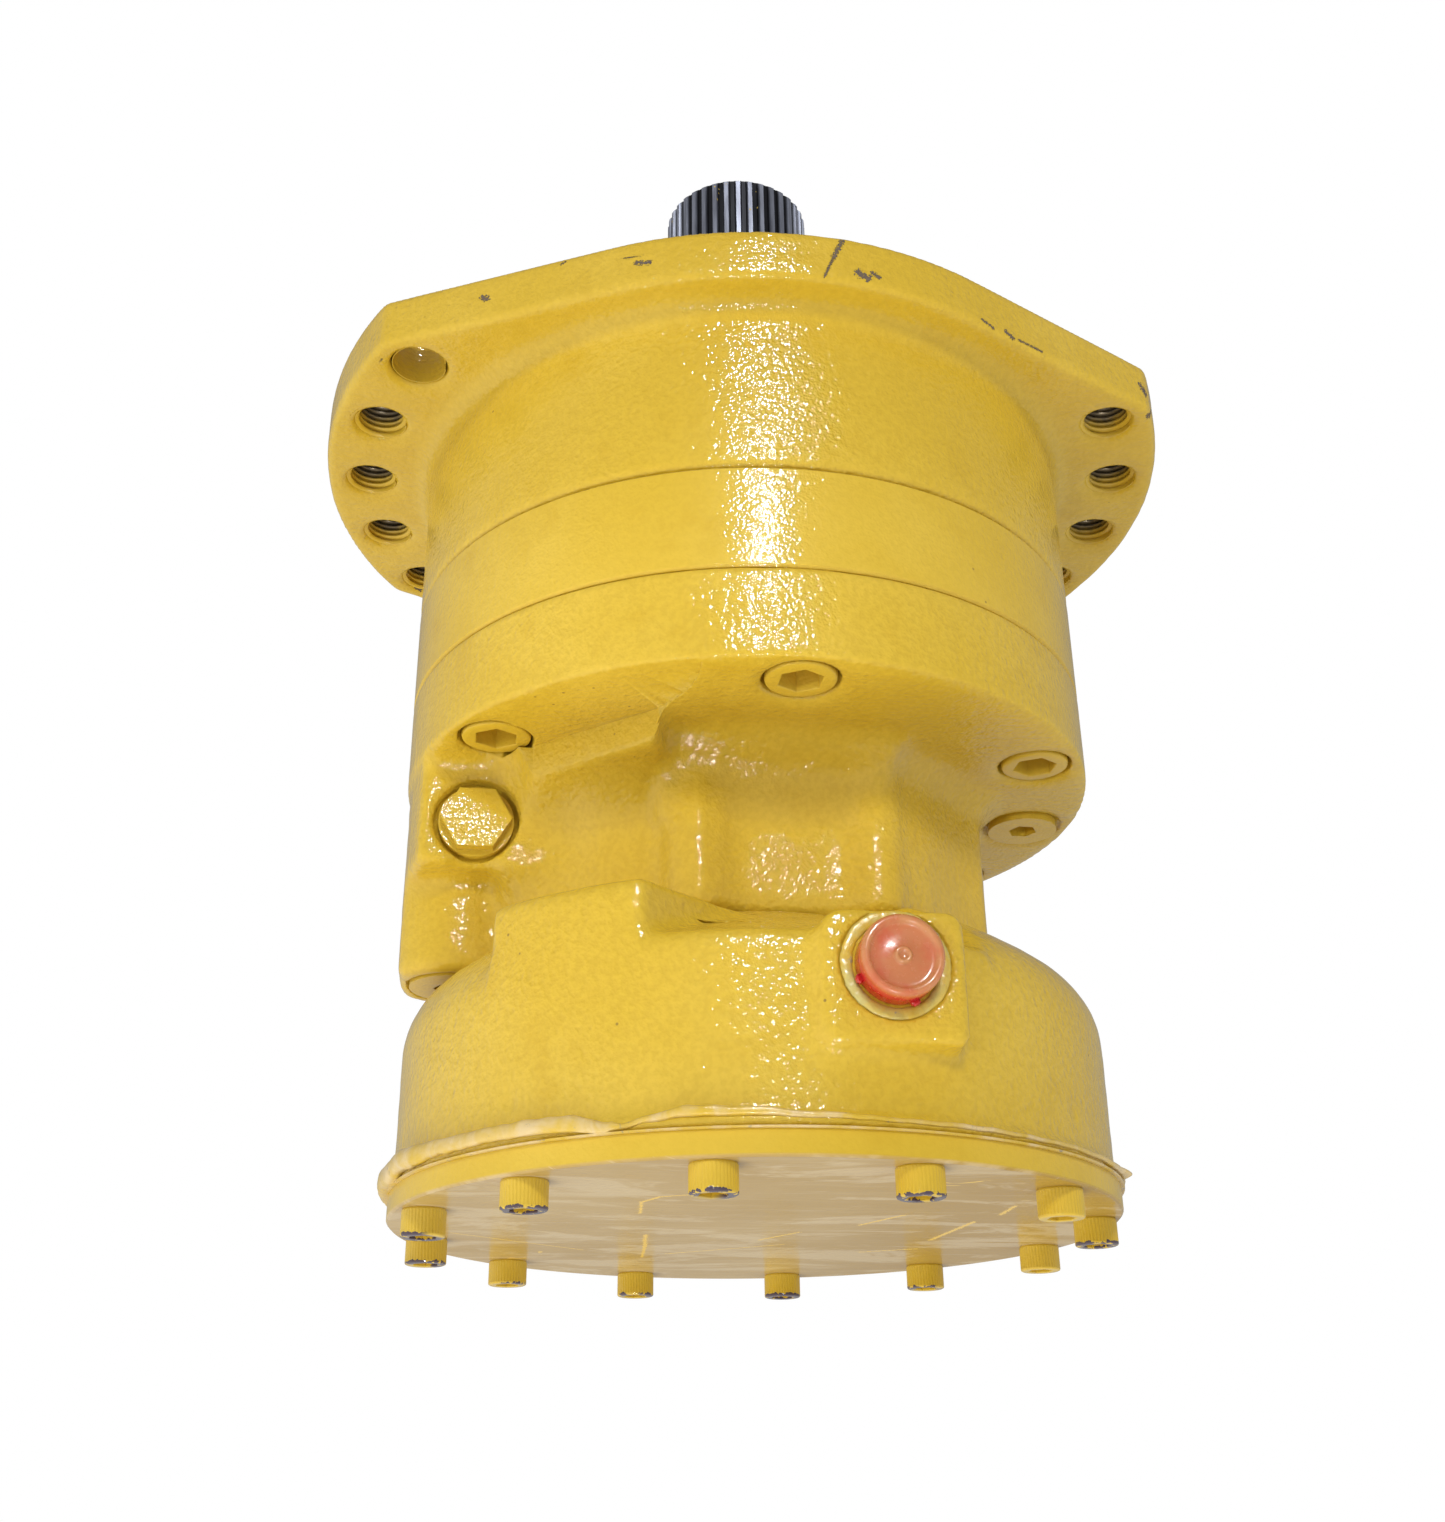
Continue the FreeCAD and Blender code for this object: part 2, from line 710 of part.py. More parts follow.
def brake_cover_plate():
    blank = turned(
        "plate_blank",
        [
            (0, "-plate_depth"), ("plate_radius - 1", "-plate_depth"),
            ("plate_radius", "-plate_depth + 1"),
            ("plate_radius", "-drum_depth - gasket_thick"), (0, "-drum_depth - gasket_thick"),
        ],
    )
    holes = [plate_hole(number, "plate_hole", "-plate_depth - 1", 14) for number in range(12)]
    return cut("plate_solid", blank, *holes)


def cover_gasket():
    blank = tube("gasket_blank", 130, 157.5, "-drum_depth - gasket_thick", "gasket_thick")
    holes = [plate_hole(number, "gasket_hole", "-drum_depth - 2", 4) for number in range(12)]
    return cut("gasket_solid", blank, *holes)


# ---- screws, dowels and static seals ----------------------------------------------------------


def socket_screws(name, spots, shank, shank_long, head, head_tall, seat, key):
    """Socket-head screws standing upright with their heads below the seat height."""
    pieces = []
    for number, (x, y) in enumerate(spots):
        rod = cylinder(f"{name}_shank_{number}", shank, f"{shank_long} + 1", x, y, f"{seat} - 1")
        cap = cylinder(f"{name}_head_{number}", head, head_tall, x, y, f"{seat} - {head_tall}")
        socket = hexagon(f"{name}_socket_{number}", key, f"{head_tall} * 0.55 + 1", x, y,
                         f"{seat} - {head_tall} - 1")
        pieces.append(cut(f"{name}_{number}", fuse(f"{name}_blank_{number}", rod, cap), socket))
    return group(name + "_group", *pieces)


def housing_screws():
    spots = [polar("screw_circle", degrees) for degrees in SCREW_ANGLES]
    return socket_screws("housing_screw", spots, "screw_radius", 110, "screw_head",
                         "screw_head_tall", "(-face_depth + screw_seat)", 17)


def cover_screws():
    spots = [polar("cover_circle", 30 * number + 15) for number in range(12)]
    return socket_screws("cover_screw", spots, "cover_screw", 35, "cover_head",
                         "cover_head_tall", "(-plate_depth)", 10)


def brake_housing_screws():
    spots = [polar("inner_screw_circle", 45 * number + 22.5) for number in range(8)]
    return socket_screws("inner_screw", spots, "inner_screw_radius", 34, "inner_screw_head",
                         13.5, "(-ceiling_depth + 14)", 12)


def dowel_pins():
    return group(
        "dowel_group",
        *[
            cylinder(f"dowel_{degrees}", "dowel_radius", 74, *polar("screw_circle", degrees), -173)
            for degrees in DOWEL_ANGLES
        ],
    )


def cam_ring_seals():
    return group(
        "cam_seal_group",
        ring_seal("cam_seal_top", 122.5, 1.45, "-support_depth - 1.5"),
        ring_seal("cam_seal_foot", 122.5, 1.45, "-cam_depth + 1.5"),
    )


# ---- plugs --------------------------------------------------------------------------------------


def socket_plug(name, x, y, z, along, thread, thread_long, rim, rim_tall, key):
    """A plug with a round rim and a hexagon socket; along points into the port."""
    back = [f"({centre}) - ({rim_tall}) * {part}" for centre, part in zip((x, y, z), along)]
    rod = cylinder(name + "_thread", thread, f"{thread_long} + {rim_tall}", *back, along)
    cap = cylinder(name + "_rim", rim, f"{rim_tall} - seat_gap", *back, along)
    socket = hexagon(name + "_socket", key, f"{rim_tall} + 5", *back, along)
    return cut(name + "_solid", fuse(name + "_blank", rod, cap), socket)


def speed_plug():
    """Hexagon-headed plug that closes the spool bore and seats the spool spring."""
    into = (0, 1, 0)
    thread = cylinder("spool_plug_thread", "11 - seat_gap", 16, "plug_x", "-plug_face + 4",
                      "plug_z", into)
    rim = cylinder("spool_plug_rim", 16.5, 3, "plug_x", "-plug_face + 2.5", "plug_z", into)
    head = hexagon("spool_plug_head", 27, 6.5, "plug_x", "-plug_face - 3", "plug_z", into)
    return fuse("spool_plug", thread, rim, head)


def speed_plug_washer():
    ring = cylinder("washer_disc", 16.5, 0.45, "plug_x", "-plug_face + 5.525", "plug_z", (0, 1, 0))
    hole = cylinder("washer_hole", 11.2, 3, "plug_x", "-plug_face + 4", "plug_z", (0, 1, 0))
    return cut("washer_ring", ring, hole)


def brake_port_cap():
    """Moulded cap: hollow stem, dished face with a rim, a thin ring and a centre nub."""
    body = turned(
        "cap_turned",
        [
            (0, -2), (10.9, -2), (10.9, -0.95), ("cap_radius", -0.95), ("cap_radius", "cap_proud - 1"),
            ("cap_radius - 1", "cap_proud"), (13, "cap_proud"), (12.4, "cap_proud - 1.6"),
            (9.4, "cap_proud - 1.6"), (9.1, "cap_proud - 1"), (8.3, "cap_proud - 1"),
            (8, "cap_proud - 1.6"), (3, "cap_proud - 1.6"), (2.7, "cap_proud - 0.6"),
            (0, "cap_proud - 0.6"),
        ],
    )
    stem = tube("cap_stem", 8.5, 10.9, -14, 13)
    cap = fuse("cap_solid", body, stem)
    return place(cap, "cap_x", "-port_face", "cap_z", (0, -1, 0))


# ---- tapered roller bearings --------------------------------------------------------------------


class TaperedBearing:
    """One tapered roller bearing.  All its raceways meet at one point on the axis.

    side is 1 when the rollers grow thicker upwards and -1 when they grow thicker downwards.
    seat is the height of the cup's thick end, which rests on a shoulder of the casing."""

    def __init__(self, name, seat, side, cup, bore, circle, roller, roller_long, width):
        self.name, self.side = name, side
        self.cup_radius, self.bore, self.width = cup, bore, value(width)
        tilt = math.radians(value("roller_tilt"))
        self.reach = value(circle) / math.sin(tilt)
        self.half = math.atan(value(roller) / self.reach)
        self.tilt = tilt
        self.roller_long = value(roller_long)
        centre = value(seat) + side * self.width / 2
        self.apex = centre - side * self.reach * math.cos(tilt)

    def along_axis(self, share):
        """Height above the apex at a share of the width, from thick end of the cup to thin."""
        return self.reach * math.cos(self.tilt) + (share - 0.5) * self.width

    def height(self, share):
        return self.apex + self.side * self.along_axis(share)

    def raceway(self, share, sign):
        return self.along_axis(share) * math.tan(self.tilt + sign * self.half)

    def cup(self):
        return turned(
            self.name + "_cup_turned",
            [
                (f"{self.cup_radius} - seat_gap", self.height(0)),
                (f"{self.cup_radius} - seat_gap", self.height(0.9)),
                (self.raceway(0.9, 1), self.height(0.9)), (self.raceway(0, 1), self.height(0)),
            ],
        )

    def cone(self):
        """Inner ring with its raceway between a low rib and a tall thrust rib."""
        spread = self.roller_long * math.cos(self.tilt) / self.width / 2 + 0.05
        low, high = 0.5 - spread, 0.5 + spread
        return turned(
            self.name + "_cone_turned",
            [
                (f"{self.bore} + seat_gap", self.height(0.06)),
                (f"{self.bore} + seat_gap", self.height(1)),
                (self.raceway(high, -1) + 2.6, self.height(1)),
                (self.raceway(high, -1) + 2.6, self.height(high + 0.04)),
                (self.raceway(high, -1), self.height(high)),
                (self.raceway(low, -1), self.height(low)),
                (self.raceway(low, -1) + 1.2, self.height(low - 0.03)),
                (self.raceway(0.06, -1) + 1.2, self.height(0.06)),
            ],
        )

    def bars(self, growth):
        """The tapered rollers as cones on their tilted axes, swollen by growth for pockets."""
        solids = []
        near = self.reach - self.roller_long / 2 - max(growth, 0)
        far = self.reach + self.roller_long / 2 + max(growth, 0)
        for number in range(BEARING_ROLLERS):
            across = heading(360 / BEARING_ROLLERS * number)
            aim = Vector(*across) * math.sin(self.tilt)
            aim.z = self.side * math.cos(self.tilt)
            start = Vector(0, 0, self.apex) + aim * near
            radii = [span * math.tan(self.half) + growth for span in (near, far)]
            solids.append(Part.makeCone(*radii, far - near, start, aim))
        return solids

    def rollers(self):
        item = doc.addObject("Part::Feature", self.name + "_roller_set")
        item.Shape = Part.makeCompound(self.bars(-value("piston_gap")))
        return place(item)

    def cage(self):
        """A conical sleeve just outside the rollers' centres, with a pocket for each one."""
        tilt = math.tan(self.tilt)
        low, high = 0.5 - self.roller_long / self.width / 2, 0.5 + self.roller_long / self.width / 2
        ends = [(share, self.along_axis(share) * tilt) for share in (low - 0.07, high + 0.05)]
        sleeve = turned(
            self.name + "_cage_sleeve",
            [
                (ends[0][1] + 1, self.height(ends[0][0])),
                (ends[0][1] + 2.8, self.height(ends[0][0])),
                (ends[1][1] + 2.8, self.height(ends[1][0])),
                (ends[1][1] + 1, self.height(ends[1][0])),
            ],
        )
        pockets = doc.addObject("Part::Feature", self.name + "_pockets")
        pockets.Shape = Part.makeCompound(self.bars(0.15))
        place(pockets)
        return cut(self.name + "_cage_solid", sleeve, pockets)


# ---- rotating parts -----------------------------------------------------------------------------


def output_shaft():
    """Splined end, seal journal, two bearing seats, thrust collar and the drive spline below."""
    core = turned(
        "shaft_core",
        [
            (0, "shaft_top"), ("spline_root - 2", "shaft_top"), ("spline_root", "shaft_top - 2"),
            ("spline_root", "spline_foot"), ("seal_journal - 1", 78), ("seal_journal", 76),
            ("seal_journal", 38.4), ("front_bore_radius", 38.4),
            ("front_bore_radius", "front_seat - 0.5"), (52, "front_seat - 0.5"),
            (52, "rear_seat - 3"), ("rear_bore_radius", "rear_seat - 3"),
            ("rear_bore_radius", "rear_seat - rear_width - 0.2"),
            (68, "rear_seat - rear_width - 0.2"), (68, -106), ("drive_root", -106),
            ("drive_root", "-shaft_foot"), ("quill_tip + 0.1", "-shaft_foot"),
            ("quill_tip + 0.1", -148), ("quill_tip + 0.1", -118), (0, -118),
        ],
    )
    end_limit = turned(
        "spline_limit",
        [
            (0, "shaft_top"), ("spline_tip - 2", "shaft_top"), ("spline_tip", "shaft_top - 2"),
            ("spline_tip", "spline_foot + 6"), ("spline_root", "spline_foot"), (0, "spline_foot"),
        ],
    )
    output_spline = common(
        "output_spline",
        toothed("output_teeth", SPLINE_TEETH, "spline_root", "spline_tip", "spline_foot",
                "shaft_top - spline_foot"),
        end_limit,
    )
    drive = cut(
        "drive_spline",
        toothed("drive_teeth", DRIVE_TEETH, "drive_root", "drive_tip", "-shaft_foot",
                "shaft_foot - 106"),
        cylinder("drive_core", 40, 60, 0, 0, "-shaft_foot - 1"),
    )
    end_hole = cylinder("shaft_end_hole", "end_thread_radius", "end_thread_deep + 1", 0, 0,
                        "shaft_top - end_thread_deep")
    return cut("shaft_solid", fuse("shaft_blank", core, output_spline, drive), end_hole)


def bearing_nut():
    """Slotted nut that holds the bearing cones together on the shaft."""
    ring = tube("nut_ring", "front_bore_radius + seat_gap", "nut_radius", 29.1, 8.4)
    slots = [
        turned_box(f"nut_slot_{number}", 8, 10, 12, ("nut_radius - 4", -5, 27), 90 * number)
        for number in range(4)
    ]
    return cut("nut_solid", ring, *slots)


def cylinder_block():
    """Disc with a drive spline, eight radial cylinders and a port under each of them."""
    blank = cylinder("block_blank", "block_radius", "block_foot - block_top", 0, 0, "-block_foot")
    socket = toothed("block_socket", DRIVE_TEETH, "drive_root", "drive_tip", "-block_foot - 1",
                     "block_foot - block_top + 2", 0.06)
    tools = [socket]
    for number in range(PISTONS):
        degrees = 360 / PISTONS * number
        tools.append(
            cylinder(f"cylinder_bore_{number}", "cylinder_radius", "block_radius - 56",
                     *polar("cylinder_floor", degrees), "-mid_depth", heading(degrees))
        )
        tools.append(
            cylinder(f"cylinder_port_{number}", "port_radius", "block_foot - mid_depth",
                     *polar("port_circle", degrees), "-block_foot - 1")
        )
    return cut("block_solid", blank, *tools)


def brake_shaft():
    """Quill that joins the output shaft to the brake: a small spline above, a hub below."""
    core = turned(
        "quill_core",
        [
            (0, -119), ("quill_root", -119), ("quill_root", -156), ("quill_root + 1", -157),
            ("quill_root + 1", "-ceiling_depth - 0.5"), ("hub_root", "-ceiling_depth - 1"),
            ("hub_root", -329), (24, -333), (24, -352), (0, -352),
        ],
    )
    return fuse(
        "quill_solid",
        core,
        toothed("quill_teeth", QUILL_TEETH, "quill_root", "quill_tip", -148, "29"),
        toothed("hub_teeth", HUB_TEETH, "hub_root", "hub_tip", -329, "329 - ceiling_depth - 1"),
    )


def disc_layer(number):
    """Lower face of one layer of the brake's disc pack, counted from the top."""
    return f"-ceiling_depth - 0.1 - {number + 1} * layer_pitch"


def friction_discs():
    """Toothed discs that turn with the hub, between the steel plates."""
    discs = []
    for number in range(FRICTION_DISCS):
        foot = disc_layer(2 * number + 1)
        blank = cylinder(f"disc_blank_{number}", "disc_outer", "layer_thick", 0, 0, foot)
        hole = toothed(f"disc_hole_{number}", HUB_TEETH, "hub_root", "hub_tip", f"{foot} - 1",
                       "layer_thick + 2", 0.15)
        discs.append(cut(f"friction_disc_{number}", blank, hole))
    return group("friction_disc_group", *discs)


def brake_plates():
    """Plain steel plates; eight lugs on each hold it still in the slots of the housing."""
    plates = []
    for number in range(FRICTION_DISCS + 1):
        foot = disc_layer(2 * number)
        blank = cylinder(f"plate_round_{number}", "upper_bore - 0.3", "layer_thick", 0, 0, foot)
        lugs = [
            turned_box(f"plate_lug_{number}_{pair}", "2 * lug_reach", "lug_width", "layer_thick",
                       ("-lug_reach", "-lug_width / 2", foot), 45 * pair)
            for pair in range(4)
        ]
        hole = cylinder(f"plate_eye_{number}", "plate_inner", "layer_thick + 2", 0, 0,
                        f"{foot} - 1")
        plates.append(cut(f"steel_plate_{number}", fuse(f"steel_star_{number}", blank, *lugs), hole))
    return group("steel_plate_group", *plates)


# ---- pistons ------------------------------------------------------------------------------------


def piston(number):
    """Plunger with a cradle in its outer end that wraps round the cam roller."""
    degrees = 360 / PISTONS * number
    plunger = cylinder(f"plunger_{number}", "cylinder_radius - piston_gap",
                       "piston_outer - piston_inner", *polar("piston_inner", degrees),
                       "-mid_depth", heading(degrees))
    cradle = cylinder(f"cradle_{number}", "cam_roller_radius + piston_gap", 60,
                      *polar("cam_roller_circle", degrees), "-mid_depth - 30")
    return cut(f"piston_solid_{number}", plunger, cradle)


def cam_roller(number):
    degrees = 360 / PISTONS * number
    blank = turned(
        f"cam_roller_turned_{number}",
        [
            (0, "-cam_roller_long / 2"), ("cam_roller_radius - 0.8", "-cam_roller_long / 2"),
            ("cam_roller_radius", "-cam_roller_long / 2 + 0.8"),
            ("cam_roller_radius", "cam_roller_long / 2 - 0.8"),
            ("cam_roller_radius - 0.8", "cam_roller_long / 2"), (0, "cam_roller_long / 2"),
        ],
    )
    return place(blank, *polar("cam_roller_circle", degrees), "-mid_depth")


# ---- shaft seal, distributor and springs ----------------------------------------------------------


def shaft_seal():
    """Radial lip seal: metal-backed ring with a garter lip on the journal."""
    return turned(
        "seal_section",
        [
            ("front_cup_radius - seat_gap", 38.8), ("front_cup_radius - seat_gap", 49.9),
            (57, 49.9), (47, 47.4), ("seal_journal + seat_gap", 45.6), (46.6, 43.6), (56, 46.6),
            (66, 46.6), (66, 38.8),
        ],
    )


def seal_snap_ring():
    ring = tube("snap_ring_round", 67, "front_cup_radius + 2.3", 50.1, 2.2)
    gap = box("snap_ring_gap", 12, 12, 6, 65, -6, 48)
    return cut("snap_ring_solid", ring, gap)


def distributor():
    """Stepped ring pressed up against the cylinder block; its face ports time the pistons."""
    blank = turned(
        "valve_turned",
        [
            ("valve_bore", "-block_foot - seat_gap"), ("valve_one", "-block_foot - seat_gap"),
            ("valve_one", -171), ("valve_two", -171), ("valve_two", -174), (62.4, -174),
            (62.4, -177), ("valve_two", -177), ("valve_two", -185), ("valve_three", -185),
            ("valve_three", -192), (58.4, -192), (58.4, -195), ("valve_three", -195),
            ("valve_three", "-valve_foot"), ("valve_bore", "-valve_foot"),
        ],
    )
    count = 2 * CAM_LOBES
    ports = [
        cylinder(f"valve_port_{number}", 4, 14 if number % 2 else 22,
                 *polar(57, 360 / count * number), -177 + (8 if number % 2 else 0))
        for number in range(count)
    ]
    return cut("valve_solid", blank, *ports)


def distributor_seals():
    return group(
        "valve_seal_group",
        tube("valve_seal_upper", 62.5, "valve_two + 0.02", -176.9, 2.8),
        tube("valve_seal_lower", 58.5, "valve_three + 0.02", -194.9, 2.8),
    )


def coil(name, radius, wire, pitch, height, x, y, z, along=(0, 0, 1)):
    """A round-wire compression spring."""
    turns = Part.makeHelix(pitch, height - wire, radius)
    start = Part.Wire(Part.makeCircle(wire / 2, Vector(radius, 0, 0), Vector(0, 1, 0)))
    item = doc.addObject("Part::Feature", name)
    item.Shape = Part.Wire(turns.Edges).makePipeShell([start], True, True)
    lift = [centre + wire / 2 * part for centre, part in zip((x, y, z), along)]
    return place(item, *lift, along)


def distributor_spring():
    """One shallow disc spring under the distributor that keeps its face on the block."""
    inner, outer, thick = 40, 57, 1.6
    foot, top = "-chamber_foot + seat_gap", "-valve_foot - seat_gap"
    return turned(
        "valve_spring",
        [
            (inner, f"{top} - {thick}"), (outer, foot), (outer, f"{foot} + {thick}"),
            (inner, top),
        ],
    )


# ---- brake piston, disc springs and the speed spool --------------------------------------------


def brake_piston():
    """Stepped ring: springs push it up on the disc pack, oil on its step pushes it down."""
    return turned(
        "brake_piston_turned",
        [
            ("piston_hole", "-piston_top - 6"), ("plate_inner + 1", "-piston_top - 6"),
            ("plate_inner + 1", "-piston_top"), ("upper_bore - 0.05", "-piston_top"),
            ("upper_bore - 0.05", -332.5), (104, -332.5), (104, -336.5),
            ("upper_bore - 0.05", -336.5), ("upper_bore - 0.05", "-piston_step"),
            ("lower_bore - 0.05", "-piston_step"), ("lower_bore - 0.05", -350), (124, -350),
            (124, -354), ("lower_bore - 0.05", -354), ("lower_bore - 0.05", "-piston_foot"),
            ("piston_hole", "-piston_foot"),
        ],
    )


def brake_piston_seals():
    return group(
        "brake_seal_group",
        ring_seal("brake_seal_upper", 106.02, 1.93, -334.5),
        ring_seal("brake_seal_lower", 126.02, 1.93, -352),
    )


def disc_springs():
    """Two conical disc springs, back to back between the piston and the cover plate."""
    thick, rise, inner, outer = 5.3, 6, 62, 105
    top = "-piston_foot - 0.15"
    foot = "-drum_depth - gasket_thick + 0.15"
    upper = turned(
        "disc_spring_upper",
        [
            (inner, f"{top} - {rise}"), (inner, f"{top} - {rise + thick}"),
            (outer, f"{top} - {thick}"), (outer, top),
        ],
    )
    lower = turned(
        "disc_spring_lower",
        [
            (inner, f"{foot} + {rise}"), (outer, foot), (outer, f"{foot} + {thick}"),
            (inner, f"{foot} + {rise + thick}"),
        ],
    )
    return group("disc_spring_pair", upper, lower)


def speed_spool():
    """Two-speed spool: two lands on a thinner stem, sliding along Y in the side block."""
    land = [("8 - piston_gap", 0), ("8 - piston_gap", 9), (5, 9), (5, 17), ("8 - piston_gap", 17)]
    bar = turned("spool_turned", [(0, 0), *land, ("8 - piston_gap", 26), (0, 26)])
    return place(bar, "plug_x", -8, "plug_z", (0, 1, 0))


def spool_spring():
    return coil("spool_coil", 5.6, 1.4, 3.6, 18.4, value("plug_x"), -26.8, value("plug_z"),
                (0, 1, 0))


# ---- build, check and write ------------------------------------------------------------------------

front = TaperedBearing("front", "front_seat", 1, "front_cup_radius", "front_bore_radius",
                       "front_circle", "front_roller", "front_roller_long", "front_width")
rear = TaperedBearing("rear", "rear_seat", -1, "rear_cup_radius", "rear_bore_radius",
                      "rear_circle", "rear_roller", "rear_roller_long", "rear_width")

node("bearing_support", bearing_support())
node("cam_ring", cam_ring())
node("distribution_cover", distribution_cover())
node("brake_housing", brake_housing())
node("brake_cover_plate", brake_cover_plate())
node("cover_gasket", cover_gasket())
node("housing_screws", housing_screws())
node("cover_screws", cover_screws())
node("brake_housing_screws", brake_housing_screws())
node("dowel_pins", dowel_pins())
node("cam_ring_seals", cam_ring_seals())
node("neck_seal", ring_seal("neck_seal_ring", 45.5, 1.25, "-neck_depth - 1.3"))
node("drain_plug", socket_plug("drain", "drain_x", 0, "-face_depth + 3", (0, 0, 1),
                               "port_plug - seat_gap", 14, 16.5, 4, 12))
node("side_port_plug", socket_plug("column", "column_x", "column_y", "-column_depth + 3",
                                   (0, 0, 1), "15 - seat_gap", 16, 20.5, 3.2, 17))
node("case_port_plug", socket_plug("case", *polar("ring_radius - 6", 120), -88,
                                   tuple(-part for part in heading(120)),
                                   "port_plug - seat_gap", 16, 14.5, 5, 10))
node("speed_plug", speed_plug())
node("speed_plug_washer", speed_plug_washer())
node("brake_port_cap", brake_port_cap())
for bearing in (front, rear):
    node(f"{bearing.name}_bearing_cup", bearing.cup())
    node(f"{bearing.name}_bearing_cone", bearing.cone())
    node(f"{bearing.name}_bearing_rollers", bearing.rollers())
    node(f"{bearing.name}_bearing_cage", bearing.cage())
node("shaft_seal", shaft_seal())
node("seal_snap_ring", seal_snap_ring())
node("distributor", distributor())
node("distributor_seals", distributor_seals())
node("distributor_spring", distributor_spring())
node("output_shaft", output_shaft())
node("bearing_nut", bearing_nut())
node("cylinder_block", cylinder_block())
node("brake_shaft", brake_shaft())
node("friction_discs", friction_discs())
node("brake_plates", brake_plates())
for number in range(PISTONS):
    node(f"piston_{number + 1}", piston(number))
    node(f"cam_roller_{number + 1}", cam_roller(number))
node("brake_piston", brake_piston())
node("brake_piston_seals", brake_piston_seals())
node("brake_disc_springs", disc_springs())
node("speed_spool", speed_spool())
node("speed_spool_spring", spool_spring())

doc.recompute()
faults = [item.Name for item in doc.Objects if {"Invalid", "Error"} & set(item.State)]
faults += [name for name, item in nodes.items() if item.Shape.isNull() or not item.Shape.isValid()]
if faults:
    raise SystemExit("these did not build: " + ", ".join(faults))
os.makedirs("parts", exist_ok=True)
for name, item in nodes.items():
    item.Shape.exportStep(f"parts/{name}.step")
print(len(nodes), "nodes")
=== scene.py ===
"""Looks of the wheel motor: cast and machined skins, paint, wear, studio light and camera.

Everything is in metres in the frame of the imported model: the axis is +Z, the flange's upper
face is at zero, the splined end points up and the port side faces -Y.
"""
import math

import bmesh
import bpy
import numpy as np
import openvdb
from mathutils import Matrix, Vector, noise


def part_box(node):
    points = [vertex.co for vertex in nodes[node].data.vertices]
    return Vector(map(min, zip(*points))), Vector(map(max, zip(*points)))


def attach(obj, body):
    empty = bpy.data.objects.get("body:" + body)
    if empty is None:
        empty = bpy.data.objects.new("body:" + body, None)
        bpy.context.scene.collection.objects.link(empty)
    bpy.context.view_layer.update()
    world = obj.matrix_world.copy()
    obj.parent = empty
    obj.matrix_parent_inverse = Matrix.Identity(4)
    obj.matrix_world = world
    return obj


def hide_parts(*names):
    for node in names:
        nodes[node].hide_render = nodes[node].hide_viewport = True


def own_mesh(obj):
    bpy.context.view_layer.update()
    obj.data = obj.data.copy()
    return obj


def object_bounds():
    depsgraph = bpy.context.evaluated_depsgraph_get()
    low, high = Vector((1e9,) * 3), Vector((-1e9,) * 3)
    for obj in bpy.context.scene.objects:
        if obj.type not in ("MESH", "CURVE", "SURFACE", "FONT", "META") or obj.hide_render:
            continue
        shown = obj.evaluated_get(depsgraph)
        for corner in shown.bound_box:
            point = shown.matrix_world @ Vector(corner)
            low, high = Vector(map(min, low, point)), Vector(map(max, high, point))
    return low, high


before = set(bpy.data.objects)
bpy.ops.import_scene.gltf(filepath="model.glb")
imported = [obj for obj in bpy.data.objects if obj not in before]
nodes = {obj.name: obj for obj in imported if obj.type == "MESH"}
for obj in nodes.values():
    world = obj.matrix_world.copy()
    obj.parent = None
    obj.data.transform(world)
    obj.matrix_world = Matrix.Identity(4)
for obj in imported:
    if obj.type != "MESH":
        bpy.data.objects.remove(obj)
cad_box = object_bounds()

MM = 0.001
FULL_TURN = 2 * math.pi


# ---- places taken from the frame ----------------------------------------------------------------


def welded(name):
    """A scratch mesh of a CAD node with its split vertices joined."""
    cells = bmesh.new()
    cells.from_mesh(nodes[name].data)
    bmesh.ops.remove_doubles(cells, verts=cells.verts, dist=1e-6)
    return cells


def solids(name):
    """The lowest and highest corners of each separate solid in a node."""
    cells = welded(name)
    left = set(cells.verts)
    boxes = []
    while left:
        edge_of_patch = [left.pop()]
        patch = []
        while edge_of_patch:
            vert = edge_of_patch.pop()
            patch.append(vert.co.copy())
            for edge in vert.link_edges:
                other = edge.other_vert(vert)
                if other in left:
                    left.remove(other)
                    edge_of_patch.append(other)
        spots = np.array(patch)
        boxes.append((Vector(spots.min(0)), Vector(spots.max(0))))
    cells.free()
    return sorted(boxes, key=lambda corners: tuple(round(c, 5) for c in corners[0]))


def middle(corners):
    return (corners[0] + corners[1]) / 2


plate_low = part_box("brake_cover_plate")[0]
drum_low, drum_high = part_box("brake_housing")
cover_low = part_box("distribution_cover")[0]
cam_low, cam_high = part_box("cam_ring")
support_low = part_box("bearing_support")[0]
cap_low, cap_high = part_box("brake_port_cap")
plug_low, plug_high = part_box("speed_plug")
case_screws = [middle(corners) for corners in solids("housing_screws")]
plate_screws = solids("cover_screws")
RING = cam_high.x                               # radius of the casing rings
RING_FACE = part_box("drain_plug")[0].z + 3 * MM  # height of the lower ring's lower face
COVER_JOINT = cam_low.z                         # height of the joint above the lower ring
FLANGE_UNDER = -26 * MM                         # height of the flange's lower face
HOLE_CIRCLE = 190 * MM
HOLE_STEP = math.radians(15)
WIDE = 0.3                                      # reaches past the motor on every side


# ---- meshes ---------------------------------------------------------------------------------------


def new_piece(name, mesh):
    item = bpy.data.objects.new(name, mesh)
    bpy.context.scene.collection.objects.link(item)
    return item


def mesh_of(name, points, faces):
    mesh = bpy.data.meshes.new(name)
    mesh.from_pydata([tuple(point) for point in points], [], [tuple(face) for face in faces])
    mesh.validate()
    mesh.update()
    return mesh


